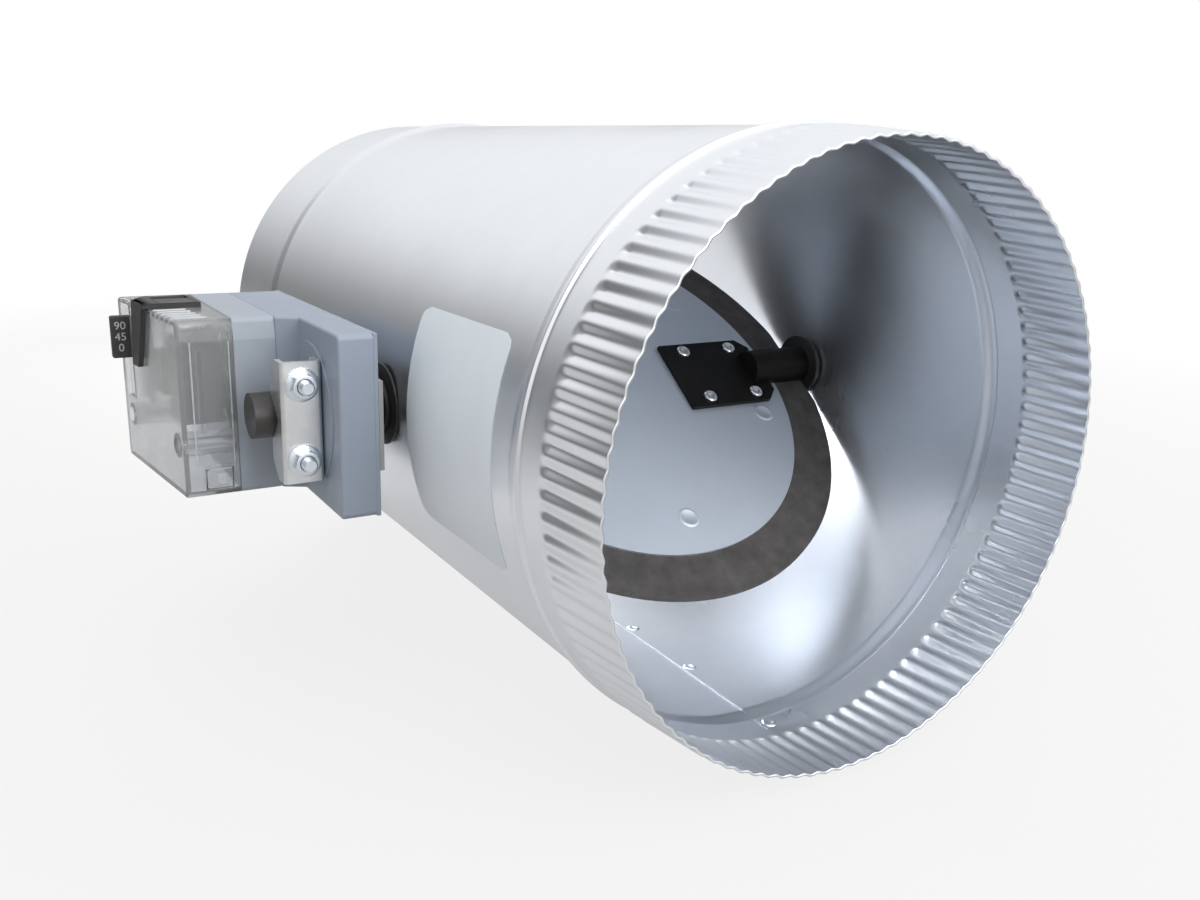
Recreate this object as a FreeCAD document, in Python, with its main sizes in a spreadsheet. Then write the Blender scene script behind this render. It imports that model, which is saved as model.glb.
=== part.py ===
import FreeCAD, Part
import math
import os
import re
import Sketcher

# Motorised round duct damper, millimetres.
# Origin: centre of the plain end's face. +Y leaves the plain end along the duct axis, +Z is up, and the
# blade shaft lies along X with the actuator on the -X side. The blade is drawn at the photo's part-open tilt.

DRIVING = [
    # duct barrel
    ("duct_diameter", 203.0), ("sheet_gauge", 0.8), ("duct_length", 360.5), ("shaft_from_rim", 148.8),
    ("crimp_length", 29.8), ("crimp_ramp", 3.0), ("crimp_depth", 1.2), ("crimp_taper", 3.25),
    ("crimp_count", 100),
    ("band_length", 12.0), ("band_rise", 1.3), ("band_shoulder", 3.0),
    ("bead_from_end", 59.5), ("bead_height", 1.1), ("bead_radius", 3.4), ("lap_width", 18.0),
    # blade
    ("blade_rest_angle", 36.5), ("blade_closed_angle", 71.0), ("disc_gauge", 0.8), ("gasket_thickness", 3.0),
    ("gasket_width", 18.0), ("gasket_clearance", 0.35), ("blade_end_gap", 0.5), ("flat_height", 2.3),
    ("clinch_radius", 69.0), ("clinch_button_radius", 3.3), ("clinch_button_height", 0.5),
    ("clinch_stem_radius", 2.0),
    # blade brackets and their rivets
    ("bracket_inner_x", 30.0), ("bracket_outer_x", 76.5), ("bracket_width", 35.6), ("bracket_gauge", 2.0),
    ("bracket_corner", 5.0), ("rivet_inset", 10.8), ("rivet_half_spacing", 13.2), ("rivet_head_radius", 3.0),
    ("rivet_head_height", 1.2), ("rivet_stem_radius", 1.6),
    # shafts and bushings
    ("shaft_diameter", 15.9), ("shaft_lap", 8.5), ("shaft_overhang", 21.3), ("stub_overhang", 7.0),
    ("running_gap", 0.05), ("bushing_wall", 2.5), ("bushing_flange_radius", 13.0),
    ("bushing_flange_height", 2.0),
    ("bushing_overhang", 3.0), ("retainer_radius", 15.0), ("retainer_height", 2.0),
    # actuator housings
    ("case_standoff", 13.3), ("case_width", 63.2), ("case_length", 116.5), ("case_depth", 13.6),
    ("case_rear_depth", 21.1), ("middle_depth", 14.5), ("cover_depth", 26.8), ("cover_slope", 7.8),
    ("upper_setback", 14.6), ("case_wall", 2.4), ("cover_wall", 2.0), ("wedge_run", 4.1),
    ("bevel_height", 7.6), ("bevel_depth", 1.0),
    ("case_round", 2.0), ("face_round", 1.0), ("back_plate_gauge", 1.5),
    ("screw_column_radius", 4.5), ("screw_column_inset", 8.0), ("screw_column_drop", 13.6),
    ("cover_screw_radius", 1.5), ("cover_screw_head_radius", 2.8),
    ("cover_screw_head_height", 1.6), ("cover_screw_length", 26.0),
    ("cover_screw_sink", 0.4),
    # black cap and lever
    ("cap_from_shaft", 46.0), ("cap_run", 36.5), ("cap_reach", 23.2), ("cap_drop", 22.7), ("cap_gauge", 2.0),
    ("cap_taper", 10.0), ("lever_from_shaft", 72.0), ("lever_gauge", 3.0), ("lever_height", 16.0),
    ("lever_reach", 6.4), ("lever_top", 26.0), ("lever_foot", 7.0), ("slot_top", 30.0), ("slot_bottom", -6.0),
    ("slot_gap", 0.5), ("slide_gap", 0.25), ("window_run", 10.0), ("cap_mark_inset", 12.5),
    ("cap_mark_width", 5.5), ("cap_mark_length", 13.0), ("cap_mark_depth", 1.2),
    ("frame_height", 9.5), ("frame_width", 10.0), ("frame_rise", 0.4),
    # clamp
    ("clamp_width", 14.0), ("clamp_height", 42.0), ("clamp_gauge", 1.8), ("clamp_gap", 0.4),
    ("clamp_web_offset", 16.9), ("clamp_flange_depth", 13.4), ("clamp_shoulder", 6.0), ("clamp_teeth", 5),
    ("tooth_depth", 0.8), ("clamp_bend", 1.5),
    ("bolt_radius", 2.5), ("bolt_half_spacing", 13.2), ("bolt_overhang", 7.5), ("nut_flats", 8.0),
    ("nut_height", 4.4), ("nut_flange_radius", 5.9), ("nut_flange_height", 1.2),
    ("dial_radius", 25.0), ("dial_gauge", 1.5), ("dial_recess", 1.0), ("dial_gap", 0.4),
    # gear train
    ("gear_module", 1.0), ("output_teeth", 48), ("idler_pinion_teeth", 12), ("wheel_module", 0.8),
    ("idler_wheel_teeth", 40), ("motor_pinion_teeth", 12), ("gear_thickness", 4.5), ("wheel_thickness", 3.0),
    ("gear_side_gap", 0.7), ("hub_radius", 11.0), ("idler_axle_radius", 2.0), ("motor_shaft_radius", 1.5),
    ("motor_radius", 16.0), ("motor_length", 19.0), ("chamber_margin", 12.0), ("backlash", 0.2),
    # board and parts on it
    ("board_gauge", 1.6), ("board_margin", 0.6), ("board_lift", 1.0), ("board_post_radius", 3.0),
    ("board_pin_radius", 1.4), ("board_post_inset", 5.0), ("board_lower_edge", -8.0),
    ("block_length", 17.0), ("block_width", 29.0), ("block_height", 13.5), ("relay_length", 14.0),
    ("relay_width", 15.5), ("relay_height", 15.0), ("capacitor_radius", 5.0), ("capacitor_height", 12.0),
    ("grommet_radius", 5.0), ("grommet_lip", 1.4), ("cord_radius", 2.5), ("grommet_height", 14.0),
    # standoff strap
    ("strap_gauge", 1.5), ("strap_width", 31.0), ("strap_foot_length", 22.0), ("strap_tail", 6.0),
    ("strap_rivet_angle", 5.0), ("strap_rivet_radius", 2.0), ("strap_head_radius", 4.0),
    ("strap_head_height", 1.4),
    ("tail_screw_radius", 2.5), ("tail_screw_inset", 9.0), ("tail_screw_head_radius", 4.4),
    ("tail_screw_head_height", 2.6), ("tail_screw_depth", 9.0), ("tail_boss_radius", 5.5),
]

DERIVED = [
    ("duct_radius", "duct_diameter / 2"),
    ("duct_bore", "duct_radius - sheet_gauge"),
    ("shaft_y", "shaft_from_rim - duct_length"),
    ("band_radius", "duct_radius + band_rise"),
    ("shaft_radius", "shaft_diameter / 2"),
    ("gasket_reach", "duct_bore - sheet_gauge - gasket_clearance"),
    ("blade_pack", "2 * disc_gauge + gasket_thickness"),
    ("blade_mid", "flat_height + blade_pack / 2"),
    ("edge_lean", "gasket_thickness / 2 * cos(blade_closed_angle * 1 deg)"),
    ("blade_half_height", "(gasket_reach - edge_lean) / sin(blade_closed_angle * 1 deg)"),
    ("blade_half_width", "sqrt(gasket_reach ^ 2 - (blade_mid + gasket_thickness / 2) ^ 2)"),
    ("blade_shift", "blade_mid / tan(blade_closed_angle * 1 deg)"),
    ("bushing_radius", "shaft_radius + bushing_wall"),
    ("bushing_seat", "sqrt(duct_bore ^ 2 - bushing_flange_radius ^ 2)"),
    ("bushing_face", "bushing_seat - bushing_flange_height"),
    ("blade_trim", "bushing_face - blade_end_gap"),
    ("case_inner", "duct_radius + case_standoff"),
    ("case_outer", "case_inner + case_depth"),
    ("case_rear", "case_inner + case_rear_depth"),
    ("middle_outer", "case_rear + middle_depth"),
    ("cover_outer", "middle_outer + cover_depth"),
    ("case_half", "case_width / 2"),
    ("case_front", "shaft_y - case_half"),
    ("case_back", "case_front + case_length"),
    ("upper_front", "shaft_y + upper_setback"),
    ("floor_inner", "case_outer - case_wall"),
    ("gear_layer", "case_inner + back_plate_gauge + gear_side_gap"),
    ("wheel_layer", "gear_layer + gear_thickness + gear_side_gap / 2"),
    ("idler_y", "shaft_y + gear_module * (output_teeth + idler_pinion_teeth) / 2"),
    ("motor_y", "idler_y + wheel_module * (idler_wheel_teeth + motor_pinion_teeth) / 2"),
    ("shaft_end", "case_outer + shaft_overhang"),
    ("clamp_inner", "case_outer + dial_gauge - dial_recess + clamp_gap"),
    ("clamp_outer", "clamp_inner + clamp_width"),
    ("clamp_mid", "clamp_inner + clamp_width / 2"),
    ("clamp_web", "shaft_y - clamp_web_offset"),
    ("clamp_back", "clamp_web + clamp_flange_depth"),
    ("notch_apex", "shaft_y - (shaft_radius + 0.03) * sqrt(2)"),
    ("bolt_bend_y", "shaft_y + shaft_radius + 0.03 + bolt_radius - bolt_half_spacing"),
    ("lever_y", "shaft_y + lever_from_shaft"),
    ("window_front", "lever_y - lever_gauge / 2 - slot_gap"),
    ("window_back", "window_front + window_run"),
    ("cap_front", "shaft_y + cap_from_shaft"),
    ("cap_back", "cap_front + cap_run"),
    ("cover_lean", "cover_slope / (case_back - upper_front)"),
    ("cover_front_outer", "cover_outer - cover_slope"),
    ("lever_face", "cover_outer - cover_lean * (case_back - lever_y)"),
    ("screw_face", "cover_front_outer + cover_lean * (screw_column_inset - cover_screw_head_radius)"),
    ("guide_outer", "lever_face - lever_foot - slide_gap"),
    ("board_inner", "middle_outer + board_lift"),
    ("board_outer", "board_inner + board_gauge"),
    ("board_front", "upper_front + cover_wall + board_margin"),
    ("board_back", "lever_y - 8"),
    ("board_top", "case_half - cover_wall - board_margin"),
    ("strap_inner", "case_inner - strap_gauge"),
    ("strap_end", "case_back + strap_tail"),
    ("tail_screw_y", "case_back - tail_screw_inset"),
]


def words_to_cells(text):
    """Expression text in which every size name points at its cell of the sheet."""
    return re.sub(r"[a-z][a-z_]*", lambda found: "sizes." + found.group() if found.group() in ALIASES
                  else found.group(), text)


def fill_sheet(document):
    cells = document.addObject("Spreadsheet::Sheet", "sizes")
    for row, (alias, value) in enumerate(DRIVING + DERIVED, 1):
        cells.set("A%d" % row, alias)
        cells.set("B%d" % row, "=" + value if isinstance(value, str) else str(value))
        cells.setAlias("B%d" % row, alias)
    document.recompute()
    return cells


ALIASES = {alias for alias, value in DRIVING + DERIVED}
doc = FreeCAD.newDocument("round_damper")
sheet = fill_sheet(doc)
ALONG_X = FreeCAD.Rotation(FreeCAD.Vector(0, 1, 0), 90)
ALONG_Y = FreeCAD.Rotation(FreeCAD.Vector(1, 0, 0), -90)
ALONG_Z = FreeCAD.Rotation()
TURNS = {"x": ALONG_X, "y": ALONG_Y, "z": ALONG_Z}
finished = []


def size(alias):
    return float(sheet.get(alias))


def bind(thing, texts):
    """Tie properties to expressions written with the names of the sheet."""
    for path, text in texts.items():
        thing.setExpression(path, words_to_cells(str(text)))
    return thing


def place(thing, corner, turn=None):
    if turn is not None:
        thing.Placement = FreeCAD.Placement(FreeCAD.Vector(), turn)
    return bind(thing, {"Placement.Base." + axis: text for axis, text in zip("xyz", corner)})


def rod(name, axis, radius, length, corner):
    """Cylinder that runs along +x, +y or +z from its starting point."""
    made = bind(doc.addObject("Part::Cylinder", name), {"Radius": radius, "Height": length})
    return place(made, corner, TURNS[axis])


def cone(name, axis, first, last, length, corner):
    made = bind(doc.addObject("Part::Cone", name), {"Radius1": first, "Radius2": last, "Height": length})
    return place(made, corner, TURNS[axis])


def slab(name, xs, ys, zs):
    """Box between two expressions on each axis."""
    made = doc.addObject("Part::Box", name)
    spans = {prop: "(%s) - (%s)" % (pair[1], pair[0]) for prop, pair in
             zip(("Length", "Width", "Height"), (xs, ys, zs))}
    return place(bind(made, spans), (xs[0], ys[0], zs[0]))


def join(name, shapes):
    made = doc.addObject("Part::MultiFuse", name)
    made.Shapes = shapes
    return made


def group(name, shapes):
    """Separate solids of one kind under one name."""
    made = doc.addObject("Part::Compound", name)
    made.Links = shapes
    return made


def cut(name, base, tools):
    made = doc.addObject("Part::Cut", name)
    made.Base = base
    made.Tool = tools[0] if len(tools) == 1 else join(name + "_tools", tools)
    return made


def meet(name, shapes):
    made = doc.addObject("Part::MultiCommon", name)
    made.Shapes = shapes
    return made


def rounded(name, base, radius, wanted):
    """Fillet the edges whose bounding box passes a test."""
    doc.recompute()
    picked = [number for number, edge in enumerate(base.Shape.Edges, 1) if wanted(edge.BoundBox)]
    made = doc.addObject("Part::Fillet", name)
    made.Base = base
    made.Edges = [(number, radius, radius) for number in picked]
    return made


def sub_part(label, thing):
    """Name a finished piece; its label is the name of its file."""
    thing.Label = label
    finished.append(thing)
    return thing


def on_blade(thing):
    """Turn a piece drawn with the blade flat about the shaft to the blade's tilt."""
    thing.Placement = FreeCAD.Placement(FreeCAD.Vector(), FreeCAD.Rotation(FreeCAD.Vector(1, 0, 0), 1))
    return bind(thing, {"Placement.Base.y": "shaft_y", "Placement.Rotation.Angle": "blade_rest_angle"})


def outline_body(name, role, points, length, corner):
    """Body padded from a closed outline whose corners are tied to the sheet."""
    body = doc.addObject("PartDesign::Body", name)
    plane = [item for item in body.Origin.OriginFeatures if item.Role == role][0]
    sketch = body.newObject("Sketcher::SketchObject", name + "_outline")
    sketch.AttachmentSupport = [(plane, "")]
    sketch.MapMode = "FlatFace"
    spots = [tuple(sheet.evalExpression(words_to_cells(str(text))) for text in point) for point in points]
    spots = [FreeCAD.Vector(float(first), float(second), 0) for first, second in spots]
    count = len(spots)
    for index in range(count):
        sketch.addGeometry(Part.LineSegment(spots[index], spots[(index + 1) % count]), False)
    for index in range(count):
        sketch.addConstraint(Sketcher.Constraint("Coincident", index, 2, (index + 1) % count, 1))
    for index, point in enumerate(points):
        spot_pairs = zip(("DistanceX", "DistanceY"), point, spots[index])
        for kind, text, spot in spot_pairs:
            number = sketch.addConstraint(Sketcher.Constraint(kind, -1, 1, index, 1, spot))
            sketch.setExpression("Constraints[%d]" % number, words_to_cells(str(text)))
    pad = body.newObject("PartDesign::Pad", name + "_pad")
    pad.Profile = sketch
    bind(pad, {"Length": length})
    sketch.Visibility = False
    return place(body, corner)


def skin(name, grow):
    """Solid inside one face of the round wall: the outer face with grow 0, the bore with grow minus gauge."""
    radius = "duct_radius" + grow
    band = "band_radius" + grow
    start = "crimp_length - duct_length"
    plain = rod(name + "_plain", "y", radius, "duct_length - crimp_length", ("0", start, "0"))
    crown = rod(name + "_band", "y", band, "band_length", ("0", start, "0"))
    shoulder = cone(name + "_shoulder", "y", band, radius, "band_shoulder",
                    ("0", start + " + band_length", "0"))
    bead = doc.addObject("Part::Torus", name + "_bead")
    bind(bead, {"Radius1": "duct_radius + bead_height - bead_radius", "Radius2": "bead_radius" + grow})
    place(bead, ("0", "-bead_from_end", "0"), ALONG_Y)
    return join(name, [plain, crown, shoulder, bead])


def crimp_wire(radius_ridge, radius_valley, y):
    """Wavy ring: each crimp is a flat ridge, a flank, a narrower valley and a flank."""
    corners = []
    count = int(size("crimp_count"))
    wave = ((0.0, radius_ridge), (0.46, radius_ridge), (0.62, radius_valley), (0.84, radius_valley))
    for crimp in range(count):
        for share, radius in wave:
            turn = 2 * math.pi * (crimp + share) / count
            corners.append(FreeCAD.Vector(radius * math.cos(turn), y, radius * math.sin(turn)))
    return Part.makePolygon(corners + corners[:1])


def crimp_skin(inward):
    """Solid inside the crimped sheet's face that lies inward of its outer face by a given amount."""
    root = size("band_radius") - inward
    rim = root - size("crimp_taper")
    start = size("crimp_length") - size("duct_length")
    depth = size("crimp_depth")
    wires = [crimp_wire(root, root, start), crimp_wire(root, root - depth, start - size("crimp_ramp")),
             crimp_wire(rim, rim - depth, -size("duct_length"))]
    return Part.makeLoft(wires, True, True)


def duct_barrel():
    """Rolled sheet barrel with a crimped end, a band, a small bead near the plain end and a lapped seam."""
    wall = cut("round_wall", skin("wall_outside", ""), [skin("wall_inside", " - sheet_gauge")])
    collar = doc.addObject("Part::Feature", "crimped_collar")
    tuck = 0.02
    collar.Shape = crimp_skin(tuck).cut(crimp_skin(size("sheet_gauge") - tuck))
    lap_start = "crimp_length + band_length + band_shoulder - duct_length"
    lap_end = "-bead_from_end - bead_radius"
    lap_foot = ("0", lap_start, "0")
    lap_length = "%s - (%s)" % (lap_end, lap_start)
    lap = cut("lap_ring", rod("lap_outside", "y", "duct_bore + sheet_gauge / 2", lap_length, lap_foot),
              [rod("lap_inside", "y", "duct_bore - sheet_gauge", lap_length, lap_foot)])
    sides = ("-lap_width / 2 - 2", "lap_width / 2 - 2")
    seam = meet("lap_seam", [lap, slab("lap_span", sides, ("-duct_length", "0"), ("-duct_radius", "0"))])
    holes = [rod("shaft_holes", "x", "bushing_radius + running_gap", "2 * duct_radius + 20",
                 ("-duct_radius - 10", "shaft_y", "0"))]
    holes += strap_rods("strap_hole", "strap_rivet_radius + running_gap", "duct_radius - 10", "20")
    return sub_part("duct_barrel", cut("barrel", join("barrel_sheet", [wall, collar, seam]), holes))


def strap_rods(name, radius, start, length):
    """Two rods that stand square to the barrel through the strap's foot."""
    made = []
    for number, sign in enumerate((1, -1), 1):
        one = bind(doc.addObject("Part::Cylinder", "%s_%d" % (name, number)),
                   {"Radius": radius, "Height": length})
        turn = sign * size("strap_rivet_angle")
        one.Placement.Rotation = FreeCAD.Rotation(FreeCAD.Vector(0, 1, 0), turn - 90)
        angle = "%d * strap_rivet_angle * 1 deg" % sign
        place(one, ("-(%s) * cos(%s)" % (start, angle), "case_back + strap_tail + strap_foot_length / 2",
                    "(%s) * sin(%s)" % (start, angle)))
        made.append(one)
    return made


def disc(name, grow, thickness, lift):
    """Elliptical plate of the blade, trimmed square beside the bushings; grow is added to both half axes."""
    rim = doc.addObject("Part::Ellipse", name + "_rim")
    bind(rim, {"MajorRadius": "blade_half_height" + grow, "MinorRadius": "blade_half_width" + grow})
    rim.Placement = FreeCAD.Placement(FreeCAD.Vector(), FreeCAD.Rotation(FreeCAD.Vector(0, 0, 1), 90))
    place(rim, ("0", "blade_shift", lift))
    plate = doc.addObject("Part::Extrusion", name + "_plate")
    plate.Base = rim
    plate.Dir = FreeCAD.Vector(0, 0, 1)
    plate.DirMode = "Custom"
    plate.Solid = True
    bind(plate, {"LengthFwd": thickness})
    trim = slab(name + "_trim", ("-blade_trim", "blade_trim"), ("-duct_diameter", "duct_diameter"),
                ("-duct_radius", "duct_radius"))
    return meet(name + "_blank", [plate, trim])


def bracket_rivet_spots():
    for side in (-1, 1):
        for along in ("bracket_inner_x + rivet_inset", "bracket_outer_x - rivet_inset"):
            for across in (-1, 1):
                yield "%d * (%s)" % (side, along), "%d * rivet_half_spacing" % across


def clinch_spots():
    for angle in (-90, -20, 40, 90, 140, 200):
        yield ("clinch_radius * cos(%d * 1 deg)" % angle, "clinch_radius * sin(%d * 1 deg)" % angle)


def blade_holes(name, gap="running_gap"):
    """Rods for the rivets and clinches through the blade's layers."""
    depth = "-flat_height - blade_pack - 1"
    rods = []
    for number, (x, y) in enumerate(bracket_rivet_spots(), 1):
        rods.append(rod("%s_rivet_%d" % (name, number), "z", "rivet_stem_radius + " + gap, "blade_pack + 6",
                        (x, y, depth)))
    for number, (x, y) in enumerate(clinch_spots(), 1):
        rods.append(rod("%s_clinch_%d" % (name, number), "z", "clinch_stem_radius + " + gap, "blade_pack + 2",
                        (x, y, depth)))
    return rods


def blade_layers():
    front = cut("front_disc", disc("front", " - gasket_width", "disc_gauge", "-flat_height - disc_gauge"),
                blade_holes("front"))
    sub_part("blade_front_disc", on_blade(front))
    foam = cut("gasket", disc("foam", "", "gasket_thickness", "-flat_height - disc_gauge - gasket_thickness"),
               blade_holes("foam"))
    sub_part("blade_gasket", on_blade(foam))
    rear = cut("rear_disc", disc("rear", " - gasket_width", "disc_gauge", "-flat_height - blade_pack"),
               blade_holes("rear"))
    sub_part("blade_rear_disc", on_blade(rear))
    buttons = []
    far = "-flat_height - blade_pack"
    button = ("clinch_button_radius", "clinch_button_height")
    for number, (x, y) in enumerate(clinch_spots(), 1):
        stem = rod("clinch_stem_%d" % number, "z", "clinch_stem_radius", "blade_pack", (x, y, far))
        face = rod("clinch_face_%d" % number, "z", *button, (x, y, "-flat_height"))
        back = rod("clinch_back_%d" % number, "z", *button, (x, y, far + " - clinch_button_height"))
        buttons.append(join("clinch_%d" % number, [stem, face, back]))
    sub_part("blade_clinch_studs", on_blade(group("clinch_studs", buttons)))


def blade_bracket(label, side):
    """Flat plate riveted across the blade, with chamfered corners towards its shaft."""
    inner = "%d * bracket_inner_x" % side
    outer = "%d * bracket_outer_x" % side
    bevelled = "%d * (bracket_outer_x - bracket_corner)" % side
    half = "bracket_width / 2"
    corners = [(inner, "-" + half), (bevelled, "-" + half), (outer, "-%s + bracket_corner" % half),
               (outer, half + " - bracket_corner"), (bevelled, half), (inner, half)]
    plate = outline_body(label + "_plate", "XY_Plane", corners, "bracket_gauge", ("0", "0", "-flat_height"))
    holes = [rod("%s_hole_%d" % (label, number), "z", "rivet_stem_radius + running_gap", "20", (x, y, "-10"))
             for number, (x, y) in enumerate(bracket_rivet_spots(), 1)]
    sub_part(label, on_blade(cut(label + "_finish", plate, holes)))


def bracket_rivets():
    rivets = []
    for number, (x, y) in enumerate(bracket_rivet_spots(), 1):
        foot = "-flat_height - blade_pack"
        stem = rod("rivet_stem_%d" % number, "z", "rivet_stem_radius", "blade_pack + bracket_gauge",
                   (x, y, foot))
        head = cone("rivet_head_%d" % number, "z", "rivet_head_radius", "rivet_head_radius * 0.6",
                    "rivet_head_height", (x, y, "bracket_gauge - flat_height"))
        tail = rod("rivet_tail_%d" % number, "z", "rivet_head_radius * 0.8", "rivet_head_height",
                   (x, y, foot + " - rivet_head_height"))
        mandrel = rod("rivet_dimple_%d" % number, "z", "rivet_stem_radius * 0.6", "rivet_head_height",
                      (x, y, "bracket_gauge - flat_height + rivet_head_height / 2"))
        rivets.append(cut("rivet_%d" % number, join("rivet_solid_%d" % number, [stem, head, tail]),
                          [mandrel]))
    sub_part("blade_bracket_rivets", on_blade(group("bracket_rivets", rivets)))


def shaft(label, side, end):
    """Round shaft, milled flat where its inner end lies on the bracket and on the blade."""
    def length_of(name, start, stop):
        corner = start if side > 0 else "-(%s)" % stop
        return rod("%s_%s" % (label, name), "x", "shaft_radius", "(%s) - (%s)" % (stop, start),
                   (corner, "0", "0"))
    root = "bracket_outer_x - shaft_lap"
    step = "bracket_outer_x + running_gap"
    shoulder = "blade_trim + blade_end_gap / 2"
    wide = ("-duct_radius", "duct_radius")
    pieces = []
    for name, start, stop, level in (("lap", root, step, "bracket_gauge - flat_height"),
                                     ("neck", step, shoulder, "-flat_height")):
        under = slab("%s_%s_flat" % (label, name), wide, wide, ("-duct_radius", level))
        pieces.append(cut("%s_%s_milled" % (label, name), length_of(name, start, stop), [under]))
    pieces.append(length_of("journal", shoulder, end))
    sub_part(label, on_blade(join(label + "_turned", pieces)))


def bushing(label, side):
    """Flanged bushing pushed through the wall from inside."""
    def start(inner, outer):
        return inner if side > 0 else "-(%s)" % outer
    end = "duct_radius + bushing_overhang"
    flange = rod(label + "_flange", "x", "bushing_flange_radius", "bushing_flange_height",
                 (start("bushing_face", "bushing_seat"), "shaft_y", "0"))
    sleeve = rod(label + "_sleeve", "x", "bushing_radius", end + " - bushing_face",
                 (start("bushing_face", end), "shaft_y", "0"))
    bore = rod(label + "_bore", "x", "shaft_radius + running_gap", "40",
               (start("bushing_face - 10", end + " + 10"), "shaft_y", "0"))
    sub_part(label, cut(label + "_turned", join(label + "_blank", [flange, sleeve]), [bore]))


def retainers():
    rings = []
    for side in (-1, 1):
        start = "duct_radius" if side > 0 else "-duct_radius - retainer_height"
        spot = (start, "shaft_y", "0")
        ring = rod("retainer_ring_%d" % (side + 2), "x", "retainer_radius", "retainer_height", spot)
        hole = rod("retainer_hole_%d" % (side + 2), "x", "bushing_radius + running_gap / 2",
                   "retainer_height", spot)
        rings.append(cut("retainer_%d" % (side + 2), ring, [hole]))
    sub_part("bushing_retainers", group("retainers", rings))


def out_slab(name, inner, outer, ys, zs):
    """Box between two distances out from the duct axis on the actuator side."""
    return slab(name, ("-(%s)" % outer, "-(%s)" % inner), ys, zs)


def out_rod(name, radius, inner, outer, y, z="0"):
    return rod(name, "x", radius, "(%s) - (%s)" % (outer, inner), ("-(%s)" % outer, y, z))


def screw_columns(name, radius, inner, outer):
    """The same rod at both cover screws."""
    spots = ("upper_front + screw_column_inset", "case_back - screw_column_inset")
    return [out_rod("%s_%d" % (name, number), radius, inner, outer, y, "-screw_column_drop")
            for number, y in enumerate(spots, 1)]


def runs_out(box):
    """True for a straight edge that only runs out from the duct."""
    return box.XLength > 1 and box.YLength < 0.01 and box.ZLength < 0.01


def gear_case():
    """Low front part under the clamp, a sloped step and a taller rear part, hollow on both sides."""
    inner = "case_inner + back_plate_gauge"
    corners = [("-(%s)" % inner, "case_front"), ("-case_outer", "case_front"),
               ("-case_outer", "upper_front - wedge_run"), ("-case_rear", "upper_front"),
               ("-case_rear", "case_back"), ("-(%s)" % inner, "case_back")]
    square = outline_body("case_block", "XY_Plane", corners, "case_width", ("0", "0", "-case_half"))
    block = rounded("case_corners", square, size("case_round"), runs_out)
    block = rounded("case_edges", block, size("face_round"),
                    lambda box: box.XMax < -size("case_outer") + 0.01)
    room = ("-case_half + case_wall", "case_half - case_wall")
    chamber_end = "motor_y + chamber_margin"
    hollows = [out_slab("gear_room", inner + " - 1", "floor_inner", ("case_front + case_wall", chamber_end),
                        room),
               out_slab("motor_room", "case_outer", "case_rear + 1",
                        ("upper_front + case_wall", "case_back - case_wall"), room),
               out_slab("tail_room", inner + " + case_wall", "case_rear",
                        (chamber_end + " + case_wall", "case_back - case_wall"), room)]
    hollows.append(meet("dial_seat", [
        out_rod("dial_seat_round", "dial_radius + running_gap", "case_outer - dial_recess", "case_outer + 1",
                "shaft_y"),
        out_slab("dial_seat_side", "case_outer - dial_recess", "case_outer + 1",
                 ("case_front", "upper_front - wedge_run - dial_gap"), ("-case_half", "case_half"))]))
    boss = out_rod("tail_boss", "tail_boss_radius", inner, "case_outer", "tail_screw_y")
    holes = [out_rod("hub_hole", "hub_radius + dial_gap", "floor_inner - 1", "case_rear + 1", "shaft_y"),
             out_rod("motor_shaft_hole", "2 * motor_shaft_radius", "floor_inner - 1", "case_rear", "motor_y"),
             out_rod("axle_seat", "idler_axle_radius + running_gap", "floor_inner - 1", "case_outer - 1",
                     "idler_y"),
             out_rod("tail_screw_seat", "tail_screw_radius + running_gap", "case_inner",
                     "case_inner + tail_screw_depth + 0.2", "tail_screw_y")]
    sub_part("gear_case",
             cut("case_finish", join("case_shell", [cut("case_hollow", block, hollows), boss]), holes))


def back_plate():
    plate = out_slab("back_plate_blank", "case_inner", "case_inner + back_plate_gauge",
                     ("case_front", "case_back"),
                     ("-case_half", "case_half"))
    holes = [out_rod("back_plate_shaft_hole", "bushing_radius", "case_inner - 1", "case_inner + 5",
                     "shaft_y"),
             out_rod("back_plate_screw_hole", "tail_screw_radius + running_gap", "case_inner - 1",
                     "case_inner + 5",
                     "tail_screw_y")]
    sub_part("case_back_plate", cut("back_plate", plate, holes))


def upper_block(name, inner, outer):
    """Full outline of the tall housings: a box whose top front corner leans back."""
    corners = [("upper_front", "-case_half"), ("case_back", "-case_half"), ("case_back", "case_half"),
               ("upper_front + bevel_depth", "case_half"), ("upper_front", "case_half - bevel_height")]
    return outline_body(name, "YZ_Plane", corners, "(%s) - (%s)" % (outer, inner),
                        ("-(%s)" % outer, "0", "0"))


def face_at(y):
    """Distance out to the cover's sloping face at a place along the duct."""
    return "(cover_outer - cover_lean * (case_back - (%s)))" % y


def sloped_block(name, inner, lift, ys, zs):
    """Block whose outer side is parallel to the cover's sloping face, lifted from it."""
    front, back = ys
    corners = [("-(%s)" % inner[0], front), ("-%s - (%s)" % (face_at(front), lift), front),
               ("-%s - (%s)" % (face_at(back), lift), back), ("-(%s)" % inner[1], back)]
    return outline_body(name, "XY_Plane", corners, "(%s) - (%s)" % (zs[1], zs[0]), ("0", "0", zs[0]))


def board_posts(name, radius, inner, outer):
    spots = [(y, z) for y in ("board_front + board_post_inset", "board_back - board_post_inset")
             for z in ("board_lower_edge + board_post_inset", "board_top - board_post_inset")]
    return [out_rod("%s_%d" % (name, number), radius, inner, outer, *spot)
            for number, spot in enumerate(spots, 1)]


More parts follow.
